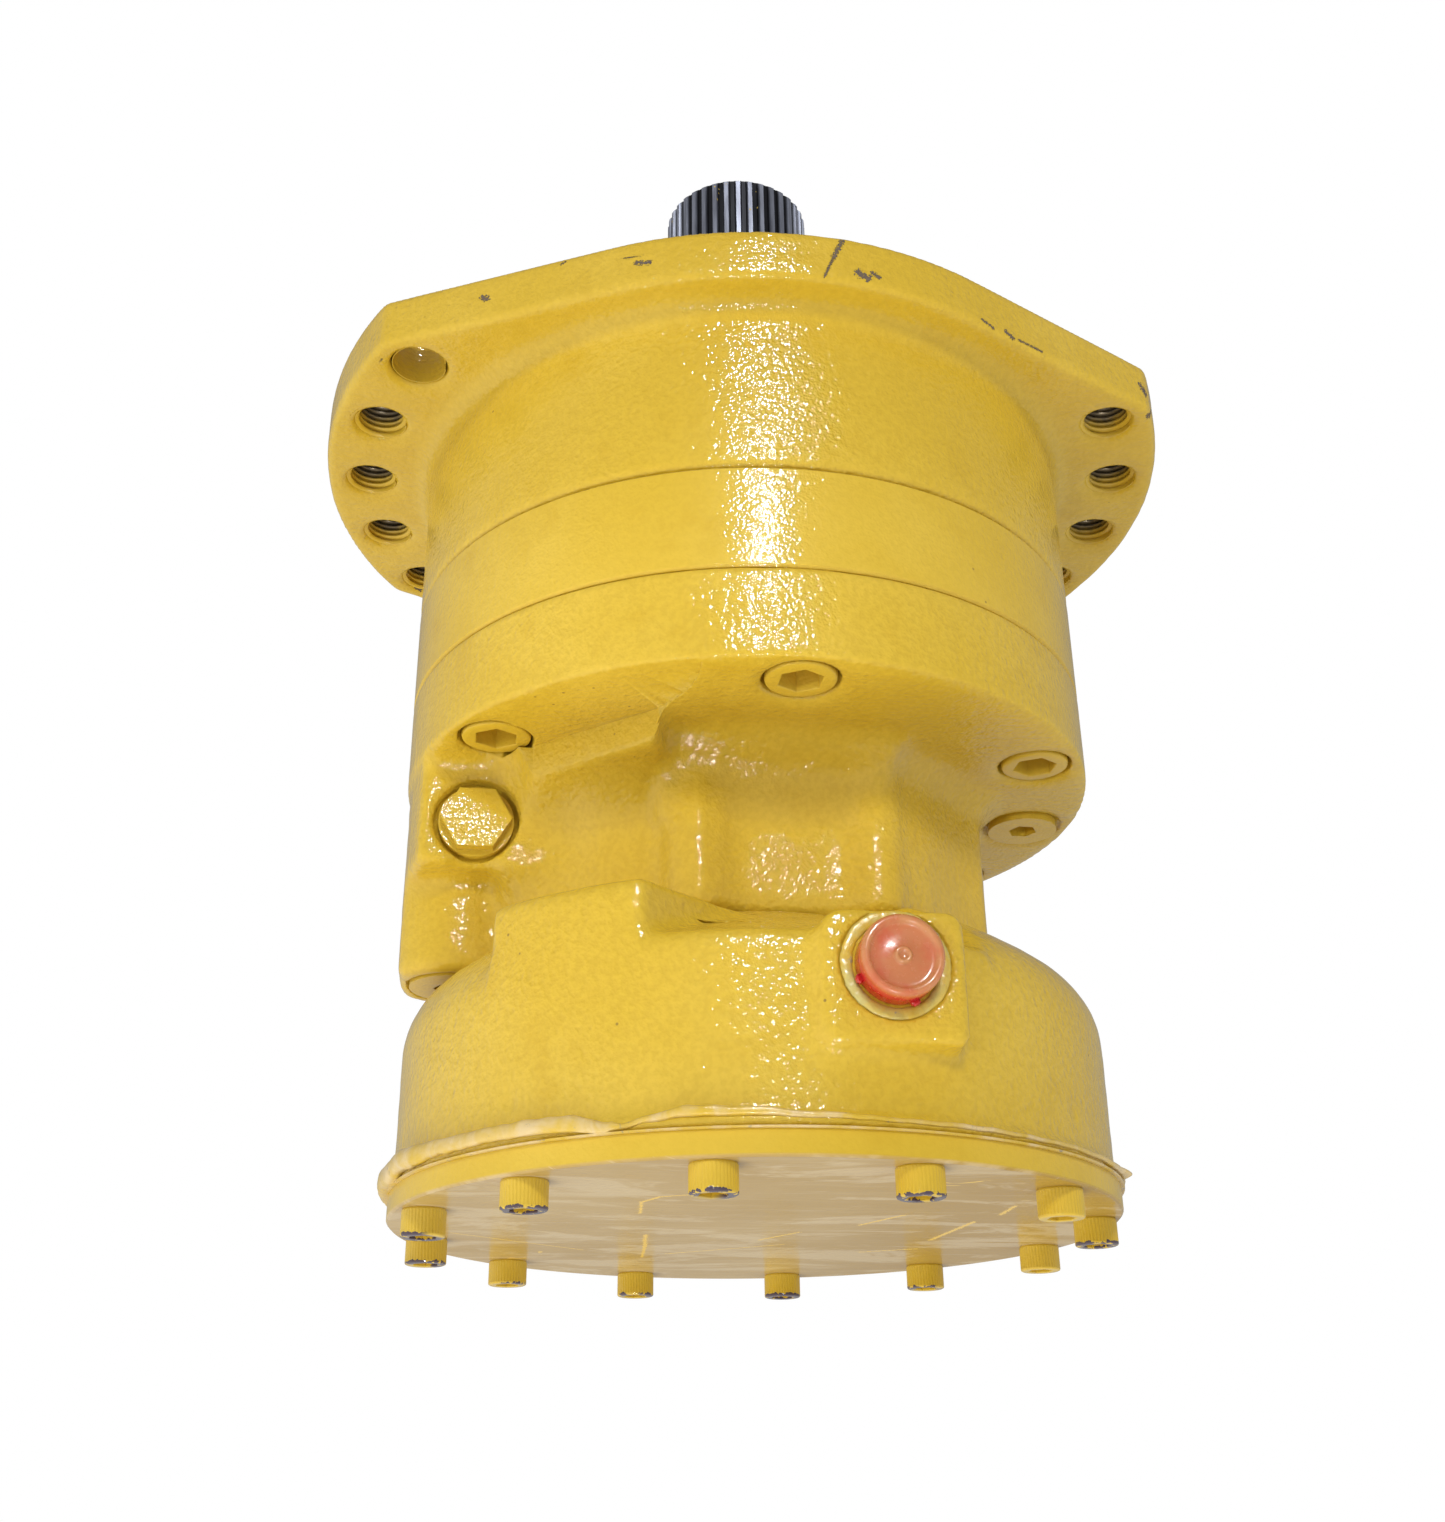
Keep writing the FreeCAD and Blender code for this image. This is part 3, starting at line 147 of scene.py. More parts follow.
def from_cells(name, cells):
    mesh = bpy.data.meshes.new(name)
    cells.to_mesh(mesh)
    cells.free()
    return new_piece(name, mesh)


def shade(item, sharp_degrees=None):
    item.data.shade_smooth()
    if sharp_degrees is not None:
        item.data.set_sharp_from_angle(angle=math.radians(sharp_degrees))
    return item


def lathe(name, profile, parts=128, centre=(0, 0, 0), along=(0, 0, 1), shape=None):
    """A closed turned solid.  profile is (radius, height) from end to end, both ends on the axis.

    shape(angle, row) may scale the radius, for knurls and sockets."""
    points, faces = [(0, 0, profile[0][1])], []
    rows = profile[1:-1]
    for row, (radius, height) in enumerate(rows):
        for part in range(parts):
            angle = FULL_TURN * part / parts
            reach = radius * (shape(angle, row) if shape else 1)
            points.append((reach * math.cos(angle), reach * math.sin(angle), height))
    points.append((0, 0, profile[-1][1]))
    last = len(points) - 1
    for part in range(parts):
        after = (part + 1) % parts
        faces.append((0, 1 + after, 1 + part))
        for row in range(len(rows) - 1):
            low, high = 1 + row * parts, 1 + (row + 1) * parts
            faces.append((low + part, low + after, high + after, high + part))
        top = 1 + (len(rows) - 1) * parts
        faces.append((top + part, top + after, last))
    mesh = mesh_of(name, points, faces)
    turn = Vector((0, 0, 1)).rotation_difference(Vector(along)).to_matrix().to_4x4()
    mesh.transform(Matrix.Translation(centre) @ turn)
    return new_piece(name, mesh)


def rod(name, radius, centre, along, start, end, parts=96):
    """A plain cylinder along a direction through a centre, used as a cutter."""
    return lathe(name, [(0, start), (radius, start), (radius, end), (0, end)], parts, centre, along)


def bar(name, low, high):
    """A box between two corners, used as a cutter."""
    cells = bmesh.new()
    low, high = Vector(low), Vector(high)
    place = Matrix.Translation((low + high) / 2) @ Matrix.Diagonal((*(high - low), 1))
    bmesh.ops.create_cube(cells, size=1, matrix=place)
    return from_cells(name, cells)


def prism(name, outline, low, high):
    """An upright prism over an outline of (x, y) corners, used as a cutter."""
    count = len(outline)
    points = [(x, y, z) for z in (low, high) for x, y in outline]
    faces = [tuple(range(count)), tuple(range(count, 2 * count))]
    for side in range(count):
        after = (side + 1) % count
        faces.append((side, after, count + after, count + side))
    return outward(new_piece(name, mesh_of(name, points, faces)))


def joined(name, pieces):
    """One piece made of several meshes that keep their own shells."""
    cells = bmesh.new()
    for item in pieces:
        cells.from_mesh(item.data)
        bpy.data.objects.remove(item)
    return from_cells(name, cells)


def on_housing(item):
    """Fix a piece to the housing."""
    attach(item, "housing")
    return item


def outward(item):
    cells = bmesh.new()
    cells.from_mesh(item.data)
    bmesh.ops.recalc_face_normals(cells, faces=cells.faces)
    cells.to_mesh(item.data)
    cells.free()
    return item


def boolean(item, tool, operation):
    change = item.modifiers.new(operation.lower(), "BOOLEAN")
    change.operation = operation
    change.solver = "MANIFOLD"
    change.object = tool
    graph = bpy.context.evaluated_depsgraph_get()
    mesh = bpy.data.meshes.new_from_object(item.evaluated_get(graph))
    item.modifiers.clear()
    item.data = mesh
    bpy.data.objects.remove(tool)
    return item


# ---- castings: rounded by level sets, machined by booleans -----------------------------------------

VOXEL = 1.5 * MM


def surface(item):
    """Points and triangles of an object's mesh."""
    mesh = item.data
    mesh.calc_loop_triangles()
    points = np.empty(len(mesh.vertices) * 3, np.float32)
    mesh.vertices.foreach_get("co", points)
    triangles = np.empty(len(mesh.loop_triangles) * 3, np.int32)
    mesh.loop_triangles.foreach_get("vertices", triangles)
    return points.reshape(-1, 3), triangles.reshape(-1, 3).astype(np.uint32)


def distance_field(surfaces, reach):
    """Signed distance to the union of closed surfaces, known to reach on either side."""
    points, triangles, quads, count = [], [], [], 0
    for spots, faces in surfaces:
        points.append(spots)
        (triangles if faces.shape[1] == 3 else quads).append(faces + np.uint32(count))
        count += len(spots)
    return openvdb.FloatGrid.createLevelSetFromPolygons(
        np.concatenate(points),
        triangles=np.concatenate(triangles) if triangles else None,
        quads=np.concatenate(quads) if quads else None,
        transform=openvdb.createLinearTransform(voxelSize=VOXEL),
        halfWidth=reach / VOXEL + 3,
    )


def rounded(surfaces, hollow, edge):
    """Fill hollow corners to one radius and wear outer edges to another."""
    skin = distance_field(surfaces, hollow).convertToQuads(isovalue=hollow)
    skin = distance_field([skin], hollow + edge).convertToQuads(isovalue=-hollow - edge)
    if edge:
        skin = distance_field([skin], edge).convertToQuads(isovalue=edge)
    return skin


def vertex_normals(points, quads):
    across = np.cross(points[quads[:, 2]] - points[quads[:, 0]],
                      points[quads[:, 3]] - points[quads[:, 1]])
    total = np.zeros_like(points)
    for corner in range(4):
        np.add.at(total, quads[:, corner], across)
    length = np.linalg.norm(total, axis=1, keepdims=True)
    return total / np.maximum(length, 1e-12)


def sand_cast(points, quads, amount):
    """Push vertices in and out like a sand-cast skin; amount gives the depth at each point.

    Two waves add up: a slow swell of about 26 mm and lumps of about 7 mm."""
    depth = amount(points)
    normals = vertex_normals(points, quads)
    shift = np.zeros(len(points))
    for index in np.flatnonzero(depth > 0):
        spot = Vector(points[index])
        swell = noise.noise(spot * 38)
        lump = noise.noise(spot * 150 + Vector((7, 1, 3)))
        shift[index] = depth[index] * (0.8 * swell + 0.6 * lump)
    return points + normals * shift[:, None].astype(np.float32)


def slice_of(name, cutter):
    """The part of a CAD node inside a cutter."""
    return boolean(from_cells(name + "_slice", welded(name)), cutter, "INTERSECT")


def unchanged(item):
    return item


def raised_into_ring(item):
    """Carry a neck slice's top up into the ring, so that its rounding stays hidden inside."""
    for vert in item.data.vertices:
        if vert.co.z > RING_FACE - 0.8 * MM:
            vert.co.z += 10 * MM
    return item


def casting(name, cast_zones, crisp_zone, blend, depth, machining):
    """A cast skin for a CAD node.

    cast_zones is (zone, hollow, edge, change): corners inside a zone are rounded to those radii.  They
    stay sharp inside crisp_zone; blend is the fillet between the zones.  depth(points) is the
    roughness of the skin.  Every machining zone is then cut back to the exact CAD shape."""
    crisp = slice_of(name, crisp_zone)
    skins = [surface(crisp)]
    bpy.data.objects.remove(crisp)
    for zone, hollow, edge, change in cast_zones:
        cast = change(slice_of(name, zone))
        skins.append(rounded([surface(cast)], hollow, edge))
        bpy.data.objects.remove(cast)
    points, quads = rounded(skins, blend, 0)
    points = sand_cast(points, quads.astype(np.int64), depth)
    item = outward(new_piece(name + "_casting", mesh_of(name + "_casting", points, quads)))
    for zone in machining:
        waste = boolean(zone, from_cells(name + "_exact", welded(name)), "DIFFERENCE")
        boolean(item, waste, "DIFFERENCE")
    shade(item, 38)
    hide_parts(name)
    return on_housing(item)


def faded(value, start, end):
    """0 before start, 1 after end, smooth between, on arrays."""
    share = np.clip((value - start) / (end - start), 0, 1)
    return share * share * (3 - 2 * share)


def disc(name, radius, low, high):
    return rod(name, radius, (0, 0, 0), (0, 0, 1), low, high, 192)


def flange_hole_spots():
    """Centres of the ten flange holes; the plain one is the last of the left ear."""
    return [
        (HOLE_CIRCLE * math.cos(angle), HOLE_CIRCLE * math.sin(angle))
        for ear in (0, math.pi)
        for angle in (ear + HOLE_STEP * step for step in range(-2, 3))
    ]


def support_roughness(points):
    """The flange's upper face, the spigot and the joint below are machined."""
    below_top = faded(-points[:, 2], 2 * MM, 5 * MM)
    above_joint = faded(points[:, 2] - support_low.z, 1 * MM, 5 * MM)
    outside = np.hypot(points[:, 0], points[:, 1]) > 150 * MM
    return 0.20 * MM * below_top * above_joint * outside


def support_casting():
    holes = joined("support_holes", [
        rod("hole", 15 * MM, (x, y, 0), (0, 0, 1), -30 * MM, 2 * MM)
        for x, y in flange_hole_spots()
    ])
    port = solids("case_port_plug")[0]
    away = Vector((middle(port).x, middle(port).y, 0)).normalized()
    seat = rod("case_port_zone", 16.5 * MM, away * 0.12 + Vector((0, 0, middle(port).z)), away,
               0, 44 * MM)
    spigot = disc("spigot_zone", 124 * MM, -0.3 * MM, 60 * MM)
    bore = disc("bore_zone", 104.5 * MM, support_low.z - 2 * MM, -0.4 * MM)
    taps = joined("support_taps", [
        rod("tap", 11 * MM, (spot.x, spot.y, 0), (0, 0, 1), support_low.z - 2 * MM, -58 * MM)
        for spot in case_screws
    ])
    return casting(
        "bearing_support",
        [(disc("support_cast_zone", WIDE, support_low.z - 5 * MM, 80 * MM), 2.5 * MM, 1.2 * MM,
          unchanged)],
        disc("support_crisp_zone", WIDE, -102 * MM, -101 * MM),
        1 * MM, support_roughness, [holes, seat, spigot, bore, taps],
    )


def cover_roughness(points):
    """The ring's side and the milled patch are smooth; its lower face and the neck are cast."""
    radius = np.hypot(points[:, 0], points[:, 1])
    rim = faded(radius, RING - 6 * MM, RING - 2 * MM)
    on_ring = points[:, 2] > RING_FACE - 1.5 * MM
    below_joint = faded(COVER_JOINT - points[:, 2], 0.5 * MM, 3 * MM)
    side = np.where(on_ring & (rim > 0), 0.08 * MM * below_joint, 0.22 * MM)
    milled = (points[:, 0] < -48 * MM) & (points[:, 1] < -50 * MM) & on_ring
    inside = (radius < 100 * MM) & (points[:, 2] > RING_FACE + 1 * MM)
    return np.where(milled, 0.03 * MM, side) * ~inside


# the milled patch on the ring's lower face (mm): a round end and a straight strip
RECESS_ARC = (-97, -146, 55)
RECESS_STRIP = ((-54, -109), (-104.5, -65), (-165, -65), (-165, -150), (-97, -150))


def cover_casting():
    under = RING_FACE - 2 * MM
    seats = [
        rod("screw_zone", 17.4 * MM, (spot.x, spot.y, 0), (0, 0, 1), under, COVER_JOINT + 2 * MM)
        for spot in case_screws
    ]
    drain = middle(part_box("drain_plug"))
    column = middle(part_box("side_port_plug"))
    seats.append(rod("drain_zone", 19.4 * MM, (drain.x, drain.y, 0), (0, 0, 1), under,
                     RING_FACE + 26 * MM))
    seats.append(rod("column_zone", 22.4 * MM, (column.x, column.y, 0), (0, 0, 1),
                     cover_low.z - 2 * MM, cover_low.z + 26 * MM))
    plug = middle((plug_low, plug_high))
    spool = rod("spool_zone", 19.3 * MM, (plug.x, 0, plug.z), (0, 1, 0), -49 * MM, 22 * MM)
    ports = bar("port_zone", (-75 * MM, 49.5 * MM, -273 * MM), (75 * MM, 119.5 * MM, -205 * MM))
    chamber = disc("chamber_zone", 70 * MM, -277 * MM, COVER_JOINT + 2 * MM)
    lowest, highest = RING_FACE - 26 * MM, RING_FACE + 2 * MM
    patch = rod("patch", RECESS_ARC[2] * MM, (RECESS_ARC[0] * MM, RECESS_ARC[1] * MM, 0),
                (0, 0, 1), lowest, highest, 192)
    strip = prism("strip", [(x * MM, y * MM) for x, y in RECESS_STRIP], lowest, highest)
    foot, neck_top = cover_low.z - 5 * MM, RING_FACE - 0.5 * MM
    return casting(
        "distribution_cover",
        [(bar("block_zone", (-WIDE, -WIDE, foot), (-27 * MM, WIDE, neck_top)),
          4.5 * MM, 3 * MM, raised_into_ring),
         (bar("rib_zone", (-34 * MM, -WIDE, foot), (WIDE, WIDE, neck_top)),
          13 * MM, 5 * MM, raised_into_ring),
         (bar("corner_zone", (-118 * MM, -125 * MM, foot), (-54 * MM, -20 * MM, RING_FACE + 8 * MM)),
          26 * MM, 2.5 * MM, unchanged)],
        disc("cover_crisp_zone", WIDE, RING_FACE - 0.6 * MM, 0),
        4.5 * MM, cover_roughness,
        [joined("seats", seats), spool, ports, chamber, patch, strip],
    )


def drum_roughness(points):
    """The port boss's face and the foot rim are machined; the rest of the drum is cast."""
    rim = faded(points[:, 2] - (drum_low.z + 5 * MM), 0, 4 * MM)
    radius = np.hypot(points[:, 0], points[:, 1])
    outer = faded(radius, 100 * MM, 112 * MM)
    boss_face = points[:, 1] < drum_low.y + 0.6 * MM
    return (0.03 + 0.22 * rim) * MM * outer * np.where(boss_face, 0.25, 1)


def drum_casting():
    cap = middle((cap_low, cap_high))
    seat = rod("seat_zone", 22.2 * MM, (cap.x, 0, cap.z), (0, 1, 0), drum_low.y - 2 * MM,
               -134 * MM)
    hollow = disc("hollow_zone", 129 * MM, drum_low.z - 2 * MM, -296 * MM)
    neck = disc("neck_zone", 76 * MM, -296.5 * MM, drum_high.z + 2 * MM)
    foot = boolean(disc("foot_zone", WIDE, drum_low.z - 2 * MM, drum_low.z + 30 * MM),
                   disc("foot_core", 128 * MM, -1, 1), "DIFFERENCE")
    foot = boolean(foot, disc("foot_edge", 151.5 * MM, -1, 1), "INTERSECT")
    return casting(
        "brake_housing",
        [(disc("drum_cast_zone", WIDE, drum_low.z + 8 * MM, 0), 4 * MM, 1.8 * MM, unchanged)],
        disc("drum_crisp_zone", WIDE, drum_low.z - 5 * MM, drum_low.z + 13 * MM),
        1.5 * MM, drum_roughness, [seat, hollow, neck, foot],
    )


# ---- materials ----------------------------------------------------------------------------------------


class Graph:
    """A node tree, with short calls for its usual steps."""

    def __init__(self, tree, place):
        self.tree = tree
        self.place = self.node("ShaderNodeTexCoord").outputs[place]

    def node(self, kind, **settings):
        item = self.tree.nodes.new(kind)
        for key, setting in settings.items():
            setattr(item, key, setting)
        return item

    def feed(self, socket, source):
        if isinstance(source, bpy.types.NodeSocket):
            self.tree.links.new(source, socket)
        elif isinstance(source, tuple) and len(source) == 3 and socket.type == "RGBA":
            socket.default_value = (*source, 1)
        else:
            socket.default_value = source

    def noise(self, scale, detail=2.0, rough=0.5, place=None, twist=0.0):
        item = self.node("ShaderNodeTexNoise")
        self.feed(item.inputs["Vector"], place or self.place)
        self.feed(item.inputs["Scale"], scale)
        self.feed(item.inputs["Detail"], detail)
        self.feed(item.inputs["Roughness"], rough)
        self.feed(item.inputs["Distortion"], twist)
        return item.outputs["Fac"]

    def cells(self, scale, place=None, feature="F1", output="Distance"):
        item = self.node("ShaderNodeTexVoronoi", feature=feature)
        self.feed(item.inputs["Vector"], place or self.place)
        self.feed(item.inputs["Scale"], scale)
        return item.outputs[output]

    def stretched(self, x, y, z, turn=0.0):
        item = self.node("ShaderNodeMapping")
        self.feed(item.inputs["Vector"], self.place)
        self.feed(item.inputs["Rotation"], (0.0, 0.0, turn))
        self.feed(item.inputs["Scale"], (x, y, z))
        return item.outputs["Vector"]

    def step(self, source, low, high, start=0.0, end=1.0):
        item = self.node("ShaderNodeMapRange", interpolation_type="SMOOTHSTEP")
        for key, number in zip(("Value", "From Min", "From Max", "To Min", "To Max"),
                               (source, low, high, start, end)):
            self.feed(item.inputs[key], number)
        return item.outputs["Result"]

    def sum(self, operation, first, second=0.0):
        item = self.node("ShaderNodeMath", operation=operation)
        self.feed(item.inputs[0], first)
        self.feed(item.inputs[1], second)
        return item.outputs[0]

    def ramp(self, source, gain, offset):
        """source * gain + offset"""
        item = self.node("ShaderNodeMath", operation="MULTIPLY_ADD")
        for socket, part in zip(item.inputs, (source, gain, offset)):
            self.feed(socket, part)
        return item.outputs[0]

    def choice(self, share, otherwise, chosen):
        """One of two shaders, by a share."""
        item = self.node("ShaderNodeMixShader")
        for socket, part in zip(item.inputs, (share, otherwise, chosen)):
            self.feed(socket, part)
        return item.outputs[0]

    def mix(self, share, first, second):
        item = self.node("ShaderNodeMix", data_type="RGBA")
        self.feed(item.inputs["Factor"], share)
        self.feed(item.inputs["A"], first)
        self.feed(item.inputs["B"], second)
        return item.outputs["Result"]

    def blend(self, share, first, second):
        item = self.node("ShaderNodeMix", data_type="FLOAT")
        self.feed(item.inputs[0], share)
        self.feed(item.inputs[2], first)
        self.feed(item.inputs[3], second)
        return item.outputs[0]

    def bump(self, height, distance, strength=1.0, below=None):
        item = self.node("ShaderNodeBump")
        self.feed(item.inputs["Height"], height)
        self.feed(item.inputs["Distance"], distance)
        self.feed(item.inputs["Strength"], strength)
        if below:
            self.feed(item.inputs["Normal"], below)
        return item.outputs["Normal"]

    def edge_softness(self, radius):
        item = self.node("ShaderNodeBevel", samples=4)
        self.feed(item.inputs["Radius"], radius)
        return item.outputs["Normal"]

    def split(self):
        item = self.node("ShaderNodeSeparateXYZ")
        self.feed(item.inputs[0], self.place)
        return item.outputs

    def streak(self, start, end, width):
        """1 inside a ragged streak of a width from one spot to another."""
        start, end = Vector(start), Vector(end)
        along = end - start
        offset = self.node("ShaderNodeVectorMath", operation="SUBTRACT")
        self.feed(offset.inputs[0], self.place)
        self.feed(offset.inputs[1], start)
        share = self.node("ShaderNodeVectorMath", operation="DOT_PRODUCT")
        self.feed(share.inputs[0], offset.outputs[0])
        self.feed(share.inputs[1], along / max(along.length_squared, 1e-9))
        clamped = self.node("ShaderNodeClamp")
        self.feed(clamped.inputs[0], share.outputs["Value"])
        nearest = self.node("ShaderNodeVectorMath", operation="SCALE")
        self.feed(nearest.inputs[0], along)
        self.feed(nearest.inputs["Scale"], clamped.outputs[0])
        away = self.node("ShaderNodeVectorMath", operation="DISTANCE")
        self.feed(away.inputs[0], offset.outputs[0])
        self.feed(away.inputs[1], nearest.outputs[0])
        wobble = self.noise(1.1 / width, 4.0, 0.65)
        reach = self.step(wobble, 0.3, 0.7, 0.0, 1.9 * width)
        return self.step(self.sum("SUBTRACT", away.outputs["Value"], reach),
                         -0.00015, 0.00015, 1.0, 0.0)


class Recipe(Graph):
    """A material made of a node tree round one shader."""

    def __init__(self, name):
        self.material = bpy.data.materials.new(name)
        self.material.use_nodes = True
        super().__init__(self.material.node_tree, "Object")
        self.shader = self.tree.nodes["Principled BSDF"]

    def set(self, **inputs):
        for key, source in inputs.items():
            self.feed(self.shader.inputs[key.replace("_", " ")], source)


YELLOW = (0.60, 0.398, 0.030)
YELLOW_DEEP = (0.54, 0.345, 0.020)
YELLOW_PALE = (0.65, 0.445, 0.050)
BARE = (0.085, 0.07, 0.085)


def paint_base(recipe):
    """Thick enamel: slow drifts of tone, faint dust and a few dark specks."""
    drift = recipe.noise(9.0, 3.0, 0.55)
    tone = recipe.mix(recipe.step(drift, 0.35, 0.7), YELLOW, YELLOW_PALE)
    blotch = recipe.noise(38.0, 3.0, 0.6)
    tone = recipe.mix(recipe.step(blotch, 0.52, 0.8, 0.0, 0.55), tone, YELLOW_DEEP)
    speck = recipe.cells(95.0)
    rare = recipe.noise(21.0, 1.0)
    specks = recipe.sum("MULTIPLY", recipe.step(speck, 0.035, 0.075, 1.0, 0.0),
                        recipe.step(rare, 0.62, 0.66))
    return recipe.mix(recipe.sum("MULTIPLY", specks, 0.75), tone, (0.16, 0.10, 0.03))


def enamel(name, cast_depth, peel_depth, soften=0.0, chips=(), base=None, coat=0.8):
    """Glossy yellow enamel over a cast or a machined skin, with painted shade in the low spots of its grain.
    """
    recipe = Recipe(name)
    tone = base(recipe) if base else paint_base(recipe)
    gloss = recipe.blend(recipe.noise(55.0, 2.0), 0.34, 0.50)
    grains = recipe.noise(400.0, 1.5, 0.5)
    pits = recipe.step(recipe.cells(250.0), 0.0, 0.45)
    patchy = recipe.step(recipe.noise(16.0, 2.0), 0.35, 0.65, 0.5, 1.0)
    height = recipe.sum("MULTIPLY", recipe.sum("ADD", grains, recipe.sum("MULTIPLY", pits, 0.4)),
                        patchy)
    # painted shade: the colour is darkened in the grain's low spots, more on rougher skins
    painted_pit_shade = recipe.step(grains, 0.3, 0.7, 0.22 * cast_depth / 0.0006, 0.0)
    tone = recipe.mix(painted_pit_shade, tone, tuple(0.72 * part for part in YELLOW_DEEP))
    normal = recipe.edge_softness(soften) if soften else None
    normal = recipe.bump(height, cast_depth, 1.0, normal)
    normal = recipe.bump(recipe.noise(800.0, 1.5), peel_depth, 1.0, normal)
    worn = 0.0
    for start, end, width in chips:
        chip = recipe.streak([part * MM for part in start], [part * MM for part in end],
                             width * MM)
        worn = recipe.sum("MAXIMUM", worn, chip)
    if chips:
        bare = recipe.mix(recipe.noise(500.0), BARE, (0.20, 0.15, 0.08))
        tone = recipe.mix(worn, tone, bare)
        gloss = recipe.blend(worn, gloss, 0.6)
        normal = recipe.bump(recipe.sum("SUBTRACT", 1.0, worn), 0.0004, 1.0, normal)
        recipe.set(Coat_Weight=recipe.sum("SUBTRACT", coat, worn))
    else:
        recipe.set(Coat_Weight=coat)
    recipe.set(Base_Color=tone, Roughness=gloss, Normal=normal, Coat_Roughness=0.02)
    recipe.set(Coat_Normal=normal, Specular_IOR_Level=0.06)
    return recipe.material


# start, end and width of each worn place on the flange's edge (mm)
FLANGE_CHIPS = (
    ((17.2, -178.6, -2), (12.4, -178.9, -13), 0.9), ((12.4, -178.9, -13), (7.6, -179.2, -25), 0.5),
    ((23, -177.8, -19), (27.5, -177.2, -21), 1.7), ((30, -177, -17.5), (33, -176.6, -19), 0.9),
    ((-136.6, -131.6, -12), (-134.6, -133.4, -13.6), 1.2),
    ((-71.5, -164.5, -13.2), (-66, -166.4, -14.2), 1.0), ((-78, -162, -9), (-60, -168, -11), 0.3),
    ((84, -158.6, -22), (90, -155.5, -23.4), 0.6), ((97, -152, -22), (101, -150, -23.6), 0.9),
    ((104, -148.5, -23), (117, -141.9, -23), 0.5), ((176.4, -111.6, -13), (180, -110.2, -17), 1.3),
    ((183.1, -104.1, -23), (183.1, -104.1, -26), 1.5), ((-171, 104.5, -21), (-168, 107, -24), 1.4),
    ((-101.5, -149.7, -3), (-103, -149, -4), 0.5), ((-40, -172.5, -3), (-33, -174, -4.5), 0.35),
    ((60, -167.5, -6), (66, -165.5, -8), 0.4), ((-185, -92, -24), (-181, -100, -25.4), 0.5),
)


# start, end and width of the paint strings stuck to the plate's underside (mm)
PAINT_STRINGS = (
    ((-53, -37), (-55, -62), 0.7), ((-55, -62), (-49, -74), 0.8), ((-49, -74), (-39, -79), 0.6),
    ((-45, 18), (-42, 50), 0.9), ((-42, 50), (-40, 83), 0.7), ((7, 28), (21, 5), 0.7),
    ((43, -15), (56, -41), 0.8), ((84, 22), (90, -27), 1.1), ((96, -45), (96, -66), 0.9),
    ((-129, 19), (-69, 63), 0.4), ((20, 40), (-30, 72), 0.5), ((60, 60), (84, 48), 0.8),
)


def plate_tone(recipe):
    """Thin, scuffed paint: greyish tan on the underside, streaked and flecked with yellow."""
    height = recipe.split()["Z"]
    under = recipe.step(height, plate_low.z + 0.0003, plate_low.z + 0.0016, 1.0, 0.0)
    worn = recipe.noise(7.0, 4.0, 0.6)
    streaks = recipe.noise(45.0, 5.0, 0.7, recipe.stretched(0.2, 2.4, 1.0, 0.25))
    share = recipe.sum("ADD", recipe.step(worn, 0.3, 0.65, 0.35, 0.95),
                       recipe.step(streaks, 0.45, 0.75, 0.0, 0.4))
    share = recipe.sum("MULTIPLY", share, recipe.step(recipe.split()["X"], 0.02, 0.09, 1.0, 0.3))
    dull = recipe.mix(share, (0.34, 0.20, 0.02), (0.46, 0.32, 0.12))
    smears = recipe.noise(16.0, 5.0, 0.7, recipe.stretched(0.6, 1.6, 1.0, -0.3), 0.8)
    dull = recipe.mix(recipe.step(smears, 0.50, 0.60, 0.0, 0.5), dull, (0.62, 0.49, 0.29))
    fine = recipe.noise(150.0, 3.0, 0.7, recipe.stretched(0.06, 3.5, 1.0, -0.1))
    dull = recipe.mix(recipe.step(fine, 0.62, 0.70, 0.0, 0.35), dull, (0.62, 0.52, 0.36))
    fleck_place = recipe.noise(28.0, 4.0, 0.65, None, 1.2)
    flecks = recipe.sum("MULTIPLY", recipe.step(fleck_place, 0.655, 0.67),
                        recipe.step(recipe.noise(9.0, 1.0), 0.5, 0.56))
    for start, end, width in PAINT_STRINGS:
        string = recipe.streak((*(part * MM for part in start), plate_low.z),
                               (*(part * MM for part in end), plate_low.z), width * MM)
        flecks = recipe.sum("MAXIMUM", flecks, string)
    dull = recipe.mix(flecks, dull, (0.78, 0.50, 0.07))
    return recipe.mix(under, paint_base(recipe), dull)


def chipped_head(recipe):
    """Screw heads: paint worn through to dark metal round the free end."""
    height = recipe.split()["Z"]
    end = recipe.step(height, plate_screws[0][0].z + 0.0002, plate_screws[0][0].z + 0.0040, 1.0, 0.0)
    ragged = recipe.noise(210.0, 3.0, 0.65)
    where = recipe.noise(26.0, 1.0)
    chip = recipe.step(recipe.sum("ADD", recipe.sum("MULTIPLY", end, 0.33),
                                  recipe.sum("MULTIPLY", ragged, 0.55)), 0.56, 0.575)
    chip = recipe.sum("MULTIPLY", chip, recipe.step(where, 0.44, 0.5))
    return recipe.mix(chip, paint_base(recipe), (0.07, 0.05, 0.07))


def bright_steel(name, colour, rough, grain=90.0):
    """Ground or turned steel with fine tool marks."""
    recipe = Recipe(name)
    marks = recipe.noise(grain, 3.0, 0.6, recipe.stretched(1.0, 1.0, 14.0))
    recipe.set(Base_Color=recipe.mix(marks, tuple(0.8 * part for part in colour), colour))
    recipe.set(Metallic=1.0, Roughness=recipe.blend(marks, rough, rough + 0.12))
    recipe.set(Normal=recipe.bump(marks, 0.00004))
    return recipe.material


